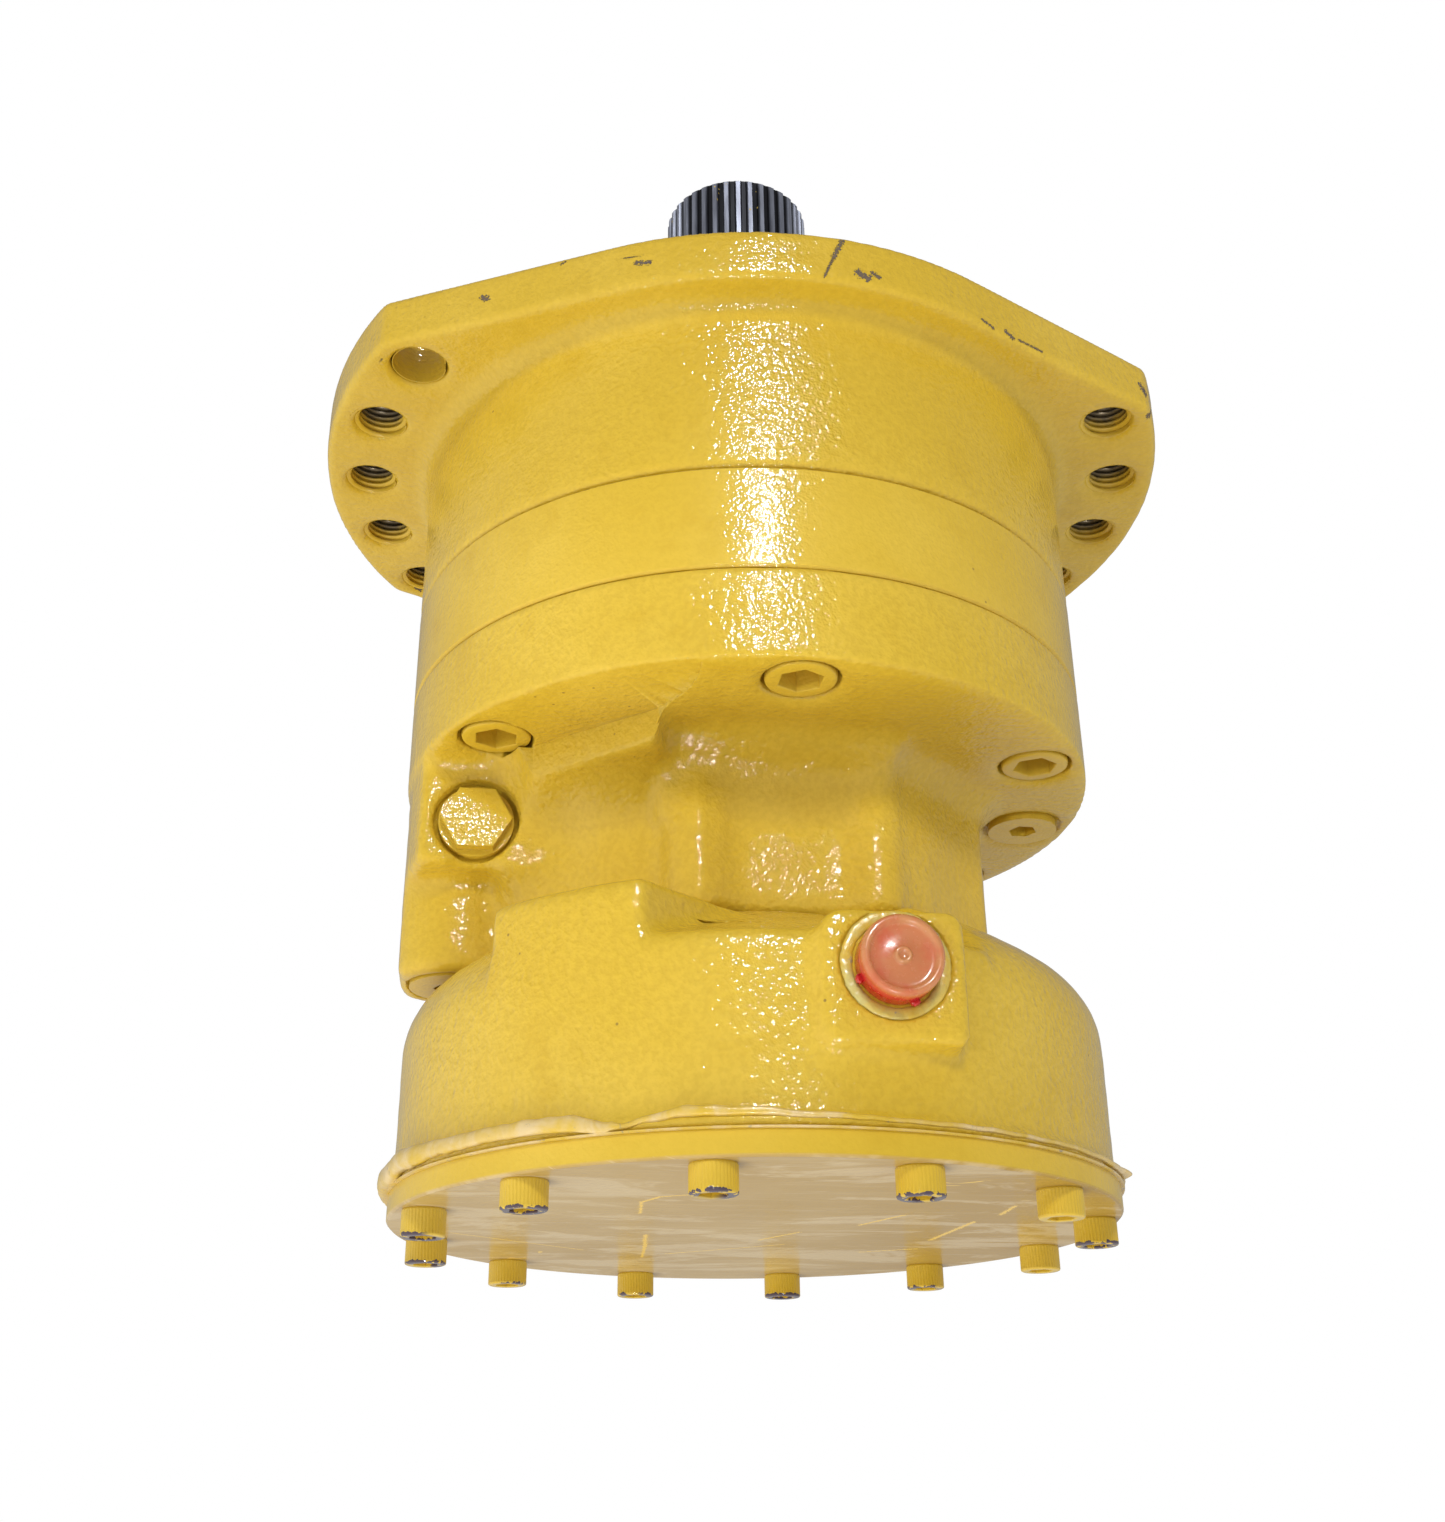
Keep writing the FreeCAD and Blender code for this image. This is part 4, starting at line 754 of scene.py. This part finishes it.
def spline_steel():
    """Dark oiled spline: bluish worn crests, nearly black roots, a few specks of overspray."""
    recipe = Recipe("spline_steel")
    parts = recipe.split()
    flat = recipe.node("ShaderNodeCombineXYZ")
    recipe.feed(flat.inputs[0], parts["X"])
    recipe.feed(flat.inputs[1], parts["Y"])
    reach = recipe.node("ShaderNodeVectorMath", operation="LENGTH")
    recipe.feed(reach.inputs[0], flat.outputs[0])
    streak = recipe.noise(240.0, 3.0, 0.6, recipe.stretched(1.0, 1.0, 0.12))
    crest = recipe.step(reach.outputs["Value"], 0.0371, 0.0386)
    crest = recipe.sum("MULTIPLY", crest, recipe.step(streak, 0.2, 0.7, 0.45, 1.0))
    tone = recipe.mix(crest, (0.022, 0.023, 0.027), (0.36, 0.385, 0.47))
    speck = recipe.sum("MULTIPLY", recipe.step(recipe.cells(230.0), 0.10, 0.16, 1.0, 0.0),
                       recipe.step(recipe.noise(70.0, 1.0), 0.56, 0.6))
    tone = recipe.mix(speck, tone, (0.55, 0.38, 0.08))
    recipe.set(Base_Color=tone, Metallic=recipe.blend(speck, 0.85, 0.0))
    recipe.set(Roughness=recipe.blend(streak, 0.28, 0.5), Normal=recipe.bump(streak, 0.0001))
    return recipe.material


def cap_plastic():
    """Red moulded plastic, dusted with yellow overspray on everything that faces outwards."""
    recipe = Recipe("cap_plastic")
    away = recipe.split()["Y"]
    face = recipe.step(away, cap_low.y + 0.0009, cap_low.y + 0.0042, 1.0, 0.0)
    patch = recipe.noise(85.0, 3.0, 0.6)
    share = recipe.sum("MULTIPLY", face, recipe.step(patch, 0.25, 0.6, 0.5, 0.92))
    tone = recipe.mix(share, (0.50, 0.012, 0.012), (0.52, 0.235, 0.085))
    fine = recipe.noise(420.0, 2.0)
    recipe.set(Base_Color=tone, Roughness=recipe.blend(fine, 0.2, 0.32), Coat_Weight=0.4)
    recipe.set(Coat_Roughness=0.05, Subsurface_Weight=0.05, Normal=recipe.bump(fine, 0.00008))
    return recipe.material


def sealant(name, pale):
    """Painted-over jointing compound: pale, smeary and with dark dirty patches."""
    recipe = Recipe(name)
    smear = recipe.noise(70.0, 4.0, 0.6, None, 0.6)
    tone = recipe.mix(recipe.step(smear, 0.35, 0.7), YELLOW, pale)
    dirt = recipe.noise(160.0, 3.0, 0.7)
    tone = recipe.mix(recipe.step(dirt, 0.62, 0.72, 0.0, 0.7), tone, (0.22, 0.20, 0.19))
    recipe.set(Base_Color=tone, Roughness=recipe.blend(smear, 0.22, 0.42), Coat_Weight=0.3)
    recipe.set(Normal=recipe.bump(recipe.noise(240.0, 3.0, 0.6), 0.0005))
    return recipe.material


def thread_metal():
    """Flange hole threads: paint near the mouth, bare dark steel further in."""
    recipe = Recipe("thread_paint")
    height = recipe.split()["Z"]
    ragged = recipe.noise(120.0, 3.0, 0.6)
    inside = recipe.sum("ADD", height, recipe.sum("MULTIPLY", ragged, 0.008))
    bare = recipe.step(inside, FLANGE_UNDER + 11 * MM, FLANGE_UNDER + 17 * MM)
    worn_tone = recipe.mix(recipe.noise(300.0), (0.05, 0.035, 0.02), (0.26, 0.20, 0.11))
    recipe.set(Base_Color=recipe.mix(bare, paint_base(recipe), worn_tone))
    recipe.set(Metallic=recipe.sum("MULTIPLY", bare, 0.45), Roughness=0.34)
    return recipe.material


def plain_dark(name, colour, rough, grain):
    """Rubber, friction lining or raw iron: a matt body with a fine grain."""
    recipe = Recipe(name)
    fine = recipe.noise(grain, 3.0, 0.6)
    recipe.set(Base_Color=recipe.mix(fine, tuple(0.7 * part for part in colour), colour))
    recipe.set(Roughness=rough, Normal=recipe.bump(fine, 0.0002))
    return recipe.material


cast_paint = enamel("cast_paint", 0.0006, 0.00010)
flange_paint = enamel("flange_paint", 0.0005, 0.00010, chips=FLANGE_CHIPS)
smooth_paint = enamel("smooth_paint", 0.00032, 0.00010, soften=0.0007)
plate_paint = enamel("plate_paint", 0.00018, 0.00008, soften=0.0006, base=plate_tone, coat=0.6)
screw_paint = enamel("screw_paint", 0.00012, 0.00008, base=chipped_head)
steel = bright_steel("ground_steel", (0.52, 0.53, 0.55), 0.22)
spring = bright_steel("spring_steel", (0.20, 0.21, 0.25), 0.3)
dark_spline = spline_steel()
red_cap = cap_plastic()
bead_paint = sealant("bead_paint", (0.66, 0.50, 0.24))
seat_paint = sealant("seat_paint", (0.52, 0.47, 0.16))
thread_paint = thread_metal()
rubber = plain_dark("rubber", (0.03, 0.03, 0.032), 0.6, 300.0)
lining = plain_dark("friction_lining", (0.16, 0.11, 0.07), 0.8, 500.0)
iron = plain_dark("cast_iron", (0.13, 0.13, 0.135), 0.55, 260.0)

MATERIALS = {
    "cam_ring": smooth_paint, "brake_cover_plate": plate_paint, "cover_gasket": bead_paint,
    "drain_plug": smooth_paint, "side_port_plug": smooth_paint, "case_port_plug": smooth_paint,
    "speed_plug": smooth_paint, "speed_plug_washer": smooth_paint, "brake_port_cap": red_cap,
    "output_shaft": dark_spline, "shaft_seal": rubber, "friction_discs": lining,
    "cylinder_block": iron, "brake_piston": iron, "distributor": iron, "cam_ring_seals": rubber,
    "neck_seal": rubber, "distributor_seals": rubber, "brake_piston_seals": rubber,
    "distributor_spring": spring, "brake_disc_springs": spring, "speed_spool_spring": spring,
    "seal_snap_ring": spring, "housing_screws": smooth_paint, "cover_screws": screw_paint,
}


def paint_cad_nodes():
    for name, item in nodes.items():
        item.data.materials.clear()
        item.data.materials.append(MATERIALS.get(name, steel))


def finished(item, material):
    item.data.materials.clear()
    item.data.materials.append(material)
    return item


# ---- threads, screws, cap and sealing bead --------------------------------------------------------------


THREAD_DEPTH = 1.4 * MM
PLAIN_DEPTH = 0.05 * MM


def hole_lining(x, y, ridge, parts=48, pitch=3 * MM, turns=8):
    """Points and faces of a helical lining for a flange hole; ridge is the thread's depth."""
    outer, wall = 12.25 * MM, 11.9 * MM
    start = FLANGE_UNDER + 1.3 * MM + pitch / 2
    points, faces = [], []
    for step in range(turns * parts + 1):
        angle = FULL_TURN * step / parts
        z = start + pitch * step / parts
        fade = min(1, step / 20, (turns * parts - step) / 12)
        crest = wall - ridge * fade
        for radius, lift in ((outer, -0.5), (wall, -0.49), (crest, -0.1), (crest, 0.1),
                             (wall, 0.49), (outer, 0.5)):
            points.append((x + radius * math.cos(angle), y + radius * math.sin(angle),
                           z + lift * pitch))
    corners = 6
    for step in range(turns * parts):
        row = corners * step
        for side in range(corners):
            after = (side + 1) % corners
            faces.append((row + side, row + after, row + corners + after, row + corners + side))
    last = corners * turns * parts
    faces.append(tuple(range(corners)))
    faces.append(tuple(range(last, last + corners)))
    return points, faces


def hole_linings(name, spots, ridge, material):
    """The linings of some flange holes as one piece."""
    points, faces = [], []
    for x, y in spots:
        more, sides = hole_lining(x, y, ridge)
        faces += [tuple(index + len(points) for index in side) for side in sides]
        points += more
    item = outward(new_piece(name, mesh_of(name, points, faces)))
    return finished(on_housing(shade(item, 50)), material)


def socket_screw(name, corners, head, tall, shank, key, knurls):
    """A socket screw standing upright, head down: knurled side, rounded end, hexagon socket."""
    foot, top = corners[0].z, corners[1].z
    parts = 8 * knurls
    edge = 0.09 * head
    across = key / 2

    def hexagon(angle):
        return across / math.cos((angle + math.pi / 6) % (math.pi / 3) - math.pi / 6)

    profile = [
        (0, foot + 0.55 * tall), (across * 0.5, foot + 0.52 * tall), (1, foot + 0.5 * tall),
        (1, foot + 0.4 * MM), (1.05, foot + 0.05 * MM), (head * 0.78, foot),
        (head - edge, foot + 0.02 * MM), (head - edge * 0.3, foot + edge * 0.35),
        (head, foot + edge), (head, foot + edge * 1.5), (head, foot + tall * 0.9),
        (head, foot + tall * 0.94), (head - 0.3 * MM, foot + tall), (shank, foot + tall),
        (shank, top), (0, top),
    ]
    socket_rows, knurl_rows = (1, 2, 3), (8, 9)

    def shape(angle, row):
        if row in socket_rows:
            return hexagon(angle)
        if row in knurl_rows:
            return 1 - 0.022 * (0.5 + 0.5 * math.cos(knurls * angle)) ** 2
        return 1

    return lathe(name, profile, parts, (middle(corners).x, middle(corners).y, 0), shape=shape)


# head radius, head height, shank radius, socket across flats, number of knurls
CASING_SCREW = (15 * MM, 20 * MM, 10 * MM, 17 * MM, 36)
PLATE_SCREW = (9 * MM, 11 * MM, 6 * MM, 10 * MM, 40)


def screw_set(node, piece, size, material):
    screws = [socket_screw("screw", corners, *size) for corners in solids(node)]
    item = finished(shade(outward(joined(piece, screws)), 35), material)
    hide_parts(node)
    return on_housing(item)


# angle in degrees, height of the bead's middle, how far it reaches out, half its height (mm)
BEAD_STATIONS = (
    (-180, -378.5, 160.0, 3.6), (-168, -378.5, 161.6, 4.6), (-160, -376.6, 161.2, 4.2),
    (-150, -376.6, 159.2, 3.2), (-140, -377.0, 158.6, 2.8), (-130, -377.0, 158.8, 3.0),
    (-124, -377.6, 159.2, 3.2), (-119, -380.0, 158.2, 2.2), (-116.5, -380.4, 157.0, 1.3),
    (-113, -378.6, 157.2, 1.4), (-108, -376.4, 157.9, 2.0), (-101, -377.0, 157.6, 1.8),
    (-93, -378.2, 157.2, 1.3), (-80, -379.4, 157.1, 1.0), (-60, -379.8, 157.2, 1.0),
    (-44, -379.8, 157.5, 1.1), (-31, -380.0, 158.8, 1.2), (-26, -380.2, 161.4, 0.9),
    (-23, -380.3, 158.0, 1.0), (0, -380.0, 157.2, 1.0), (60, -380.0, 157.2, 1.0),
    (120, -380.0, 157.3, 1.1), (160, -379.4, 158.2, 1.8), (180, -378.5, 160.0, 3.6),
)


def bead_at(degrees):
    """The bead's middle height, reach and half height at an angle, eased between stations."""
    for before, after in zip(BEAD_STATIONS, BEAD_STATIONS[1:]):
        if before[0] <= degrees <= after[0]:
            share = (degrees - before[0]) / (after[0] - before[0])
            share = share * share * (3 - 2 * share)
            return [a + (b - a) * share for a, b in zip(before[1:], after[1:])]
    return list(BEAD_STATIONS[0][1:])


def hoop(name, rows):
    """A closed hoop through rows of points, each row going once round its thickness."""
    around = len(rows[0])
    faces = []
    for step in range(len(rows)):
        row, after = step * around, (step + 1) % len(rows) * around
        for side in range(around):
            side_after = (side + 1) % around
            faces.append((row + side, after + side, after + side_after, row + side_after))
    points = [point for row in rows for point in row]
    return shade(outward(new_piece(name, mesh_of(name, points, faces))))


def sealing_bead():
    """Jointing compound squeezed out over the drum's foot, brushed and painted over."""
    steps, around, inner = 720, 18, 153.4
    rows = []
    for step in range(steps):
        row = []
        degrees = -180 + 360 * step / steps
        angle = math.radians(degrees)
        height, reach, half = bead_at(degrees)
        out = Vector((math.cos(angle), math.sin(angle), 0))
        ripple = noise.noise(out * 9) * 0.5 + noise.noise(out * 31) * 0.3
        reach += ripple * 0.55
        height += noise.noise(out * 13 + Vector((0, 0, 4))) * 0.5
        for side in range(around):
            turn = FULL_TURN * side / around
            bulge = 1 + 0.22 * noise.noise(Vector((out.x * 26, out.y * 26, turn)))
            wide = (reach - inner) / 2
            x = inner + wide + wide * math.copysign(abs(math.cos(turn)) ** 0.7, math.cos(turn))
            lift = half * bulge * math.copysign(abs(math.sin(turn)) ** 0.8, math.sin(turn))
            droop = -0.8 * (x - inner) / max(reach - inner, 1) * (half > 2)
            spot = out * (x * MM)
            row.append((spot.x, spot.y, (height + lift + droop) * MM))
        rows.append(row)
    return finished(on_housing(hoop("sealing_bead", rows)), bead_paint)


CAP_SEAT = 159.2 * MM        # how far in front of the axis the cap's seat lies


def port_cap():
    """The port cap: dished face with a raised ring and nub, four lugs at its foot."""
    low, high = cap_low, cap_high
    centre = Vector((middle((low, high)).x, 0, middle((low, high)).z))
    front, seat = -low.y, CAP_SEAT
    rim = (high.x - low.x) / 2
    profile = [
        (0, seat - 12 * MM), (8.2 * MM, seat - 12 * MM), (8.2 * MM, seat), (rim - 0.8 * MM, seat),
        (rim - 0.35 * MM, seat + 0.5 * MM), (rim - 0.1 * MM, front - 2.6 * MM),
        (rim - 0.4 * MM, front - 1.0 * MM), (rim - 1.3 * MM, front - 0.15 * MM),
        (rim - 2.3 * MM, front), (rim - 3.0 * MM, front - 0.3 * MM),
        (rim - 3.5 * MM, front - 1.3 * MM), (rim - 4.2 * MM, front - 1.8 * MM),
        (rim - 5.2 * MM, front - 1.9 * MM), (3.9 * MM, front - 1.9 * MM),
        (3.4 * MM, front - 1.5 * MM), (3.0 * MM, front - 0.7 * MM), (2.4 * MM, front - 0.5 * MM),
        (1.9 * MM, front - 0.8 * MM), (1.4 * MM, front - 1.5 * MM), (0, front - 1.7 * MM),
    ]
    body = lathe("cap_body", profile, 96, centre, (0, -1, 0))
    lugs = []
    for degrees in (25, 108, 205, 292):
        angle = math.radians(degrees)
        cells = bmesh.new()
        bmesh.ops.create_cube(cells, size=1)
        bmesh.ops.bevel(cells, geom=cells.edges[:], offset=0.22, segments=3, affect="EDGES")
        size = Matrix.Diagonal((2.6 * MM, 3.2 * MM, 3.4 * MM, 1))
        spot = Vector((math.cos(angle), 0, math.sin(angle))) * (rim + 0.1 * MM)
        spot += centre + Vector((0, -(seat + 2.2 * MM), 0))
        cells.transform(Matrix.Translation(spot) @ Matrix.Rotation(-angle, 4, "Y") @ size)
        lugs.append(from_cells("lug", cells))
    item = finished(shade(outward(joined("port_cap", [body, *lugs])), 60), red_cap)
    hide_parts("brake_port_cap")
    return on_housing(item)


def shortening_spring(node, piece):
    """A spring copied from its CAD node and fixed to the housing, with a mesh of its own."""
    item = finished(shade(from_cells(piece, welded(node)), 35), spring)
    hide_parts(node)
    on_housing(item)
    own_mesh(item)
    return item


def seat_compound():
    """A ragged ring of old compound in the seat round the port cap."""
    steps, around = 240, 12
    hoop_radius = 18.6 * MM
    centre = middle((cap_low, cap_high))
    rows = []
    for step in range(steps):
        row = []
        angle = FULL_TURN * step / steps
        out = Vector((math.cos(angle), 0, math.sin(angle)))
        ragged = noise.noise(out * 3.1 + Vector((2, 0, 0))) + 0.6 * noise.noise(out * 11)
        wide = (2.3 + 0.5 * ragged) * MM
        proud = (0.75 + 0.45 * noise.noise(out * 6 + Vector((0, 5, 0)))) * MM
        for side in range(around):
            turn = FULL_TURN * side / around
            reach = hoop_radius + wide * math.cos(turn)
            depth = CAP_SEAT - 0.1 * MM + proud * math.sin(turn)
            row.append((centre.x + out.x * reach, -depth, centre.z + out.z * reach))
        rows.append(row)
    return finished(on_housing(hoop("seat_compound", rows)), seat_paint)


# ---- camera, stage and light ----------------------------------------------------------------------------

CAMERA_TURN = -9.5          # degrees about the axis, from straight in front
CAMERA_BACK = 0.73834
CAMERA_HEIGHT = -0.51013
CAMERA_YAW, CAMERA_PITCH, CAMERA_ROLL = -0.0152, 0.4311, -0.0115
CAMERA_LENS = 39.50


def add_camera():
    yaw, pitch, roll = CAMERA_YAW, CAMERA_PITCH, CAMERA_ROLL
    forward = Vector((math.sin(yaw) * math.cos(pitch), math.cos(yaw) * math.cos(pitch),
                      math.sin(pitch)))
    right = Vector((math.cos(yaw), -math.sin(yaw), 0))
    up = right.cross(forward)
    level_right = right * math.cos(roll) + up * math.sin(roll)
    level_up = up * math.cos(roll) - right * math.sin(roll)
    turn = Matrix.Rotation(math.radians(CAMERA_TURN), 4, "Z")
    pose = Matrix((level_right, level_up, -forward)).transposed().to_4x4()
    pose.translation = Vector((0, -CAMERA_BACK, CAMERA_HEIGHT))
    lens = bpy.data.cameras.new("camera")
    lens.lens = CAMERA_LENS
    lens.sensor_width = 36
    lens.clip_start = 0.01
    holder = bpy.data.objects.new("camera", lens)
    bpy.context.scene.collection.objects.link(holder)
    holder.matrix_world = turn @ pose
    bpy.context.scene.camera = holder


def lamp(name, azimuth, elevation, distance, width, height, power, colour=(1, 1, 1)):
    """A soft box that looks at the middle of the motor from a bearing and an elevation."""
    target = Vector((0, 0, -0.2))
    level = math.cos(math.radians(elevation))
    aim = Vector((level * math.cos(math.radians(azimuth)), level * math.sin(math.radians(azimuth)),
                  math.sin(math.radians(elevation))))
    light = bpy.data.lights.new(name, "AREA")
    light.shape = "RECTANGLE"
    light.size, light.size_y = width, height
    light.energy = power
    light.color = colour
    holder = bpy.data.objects.new(name, light)
    bpy.context.scene.collection.objects.link(holder)
    holder.location = target + aim * distance
    holder.rotation_euler = (-aim).to_track_quat("-Z", "Y").to_euler()
    return holder


def add_lamps():
    """The key and the bounce shape the forms; the narrow strip only makes reflections."""
    key = lamp("key", -92, 20, 2.2, 0.28, 0.28, 18, (1.0, 0.98, 0.95))
    key.visible_glossy = False
    strip = lamp("strip", -92.4, 30, 2.2, 0.09, 0.50, 34)
    strip.visible_diffuse = False
    low_strip = lamp("low_strip", -96, -48, 2.0, 0.24, 0.09, 9)
    low_strip.visible_diffuse = False
    bounce = lamp("bounce", -140, -68, 1.8, 0.9, 0.9, 14, (1.0, 0.96, 0.90))
    bounce.visible_glossy = False
    fill = bpy.data.lights.new("neck_fill", "SPOT")
    fill.energy, fill.spot_size, fill.spot_blend = 60, math.radians(8.5), 0.9
    fill.shadow_soft_size = 0.15
    holder = bpy.data.objects.new("neck_fill", fill)
    bpy.context.scene.collection.objects.link(holder)
    holder.location = (-0.75, -1.05, -0.42)
    aim = Vector((-0.02, -0.08, -0.232)) - holder.location
    holder.rotation_euler = aim.to_track_quat("-Z", "Y").to_euler()
    holder.visible_glossy = False


def add_world():
    """White to the camera, bright soft light from the left and a darker room in reflections."""
    world = bpy.data.worlds.new("studio")
    bpy.context.scene.world = world
    world.use_nodes = True
    graph = Graph(world.node_tree, "Generated")
    parts = graph.split()
    ray = graph.node("ShaderNodeLightPath").outputs

    def backdrop(left, front, right, below, above):
        """Strength by side, times a factor that goes from below to above."""
        slope = graph.ramp(parts["X"], (left + right) / 2 - front, (right - left) / 2)
        side = graph.ramp(parts["X"], slope, front)
        height = graph.ramp(parts["Z"], (above - below) / 2, (above + below) / 2)
        fill = graph.node("ShaderNodeBackground")
        graph.feed(fill.inputs["Color"], (1, 1, 1))
        graph.feed(fill.inputs["Strength"], graph.sum("MULTIPLY", side, height))
        return fill.outputs[0]

    seen = graph.tree.nodes["Background"]
    graph.feed(seen.inputs["Color"], (1, 1, 1))
    graph.feed(seen.inputs["Strength"], 1)
    lit = graph.choice(ray["Is Glossy Ray"], backdrop(1.36, 0.58, 1.14, 1.36, 0.55),
                       backdrop(0.60, 0.30, 0.36, 2.3, 0.45))
    sky = graph.choice(ray["Is Camera Ray"], lit, seen.outputs[0])
    graph.feed(graph.tree.nodes["World Output"].inputs[0], sky)
    bpy.context.scene.view_settings.view_transform = "Standard"


def add_floor():
    """A pale floor under the motor, seen only from above, so views from below stay clear."""
    cells = bmesh.new()
    bmesh.ops.create_grid(cells, x_segments=2, y_segments=2, size=6)
    bmesh.ops.translate(cells, verts=cells.verts, vec=(0, 0, cad_box[0][2] - 0.0005))
    floor = from_cells("floor", cells)
    recipe = Recipe("floor")
    recipe.set(Base_Color=recipe.mix(recipe.noise(3.0), (0.80, 0.80, 0.79), (0.84, 0.84, 0.83)))
    recipe.set(Roughness=0.8)
    clear = recipe.node("ShaderNodeBsdfTransparent").outputs[0]
    camera_ray = recipe.node("ShaderNodeLightPath").outputs["Is Camera Ray"]
    behind = recipe.node("ShaderNodeNewGeometry").outputs["Backfacing"]
    seen = recipe.sum("MULTIPLY", camera_ray, recipe.sum("SUBTRACT", 1.0, behind))
    skin = recipe.choice(seen, clear, recipe.shader.outputs[0])
    recipe.feed(recipe.tree.nodes["Material Output"].inputs[0], skin)
    finished(floor, recipe.material)


# ---- the whole motor --------------------------------------------------------------------------------------

paint_cad_nodes()
finished(support_casting(), flange_paint)
finished(cover_casting(), cast_paint)
finished(drum_casting(), cast_paint)
hole_linings("flange_threads", flange_hole_spots()[:-1], THREAD_DEPTH, thread_paint)
hole_linings("plain_hole_paint", flange_hole_spots()[-1:], PLAIN_DEPTH, smooth_paint)
screw_set("housing_screws", "casing_screws", CASING_SCREW, smooth_paint)
screw_set("cover_screws", "plate_screws", PLATE_SCREW, screw_paint)
sealing_bead()
port_cap()
seat_compound()
shortening_spring("brake_disc_springs", "disc_springs")
shortening_spring("speed_spool_spring", "spool_spring")
add_floor()
add_lamps()
add_world()
add_camera()
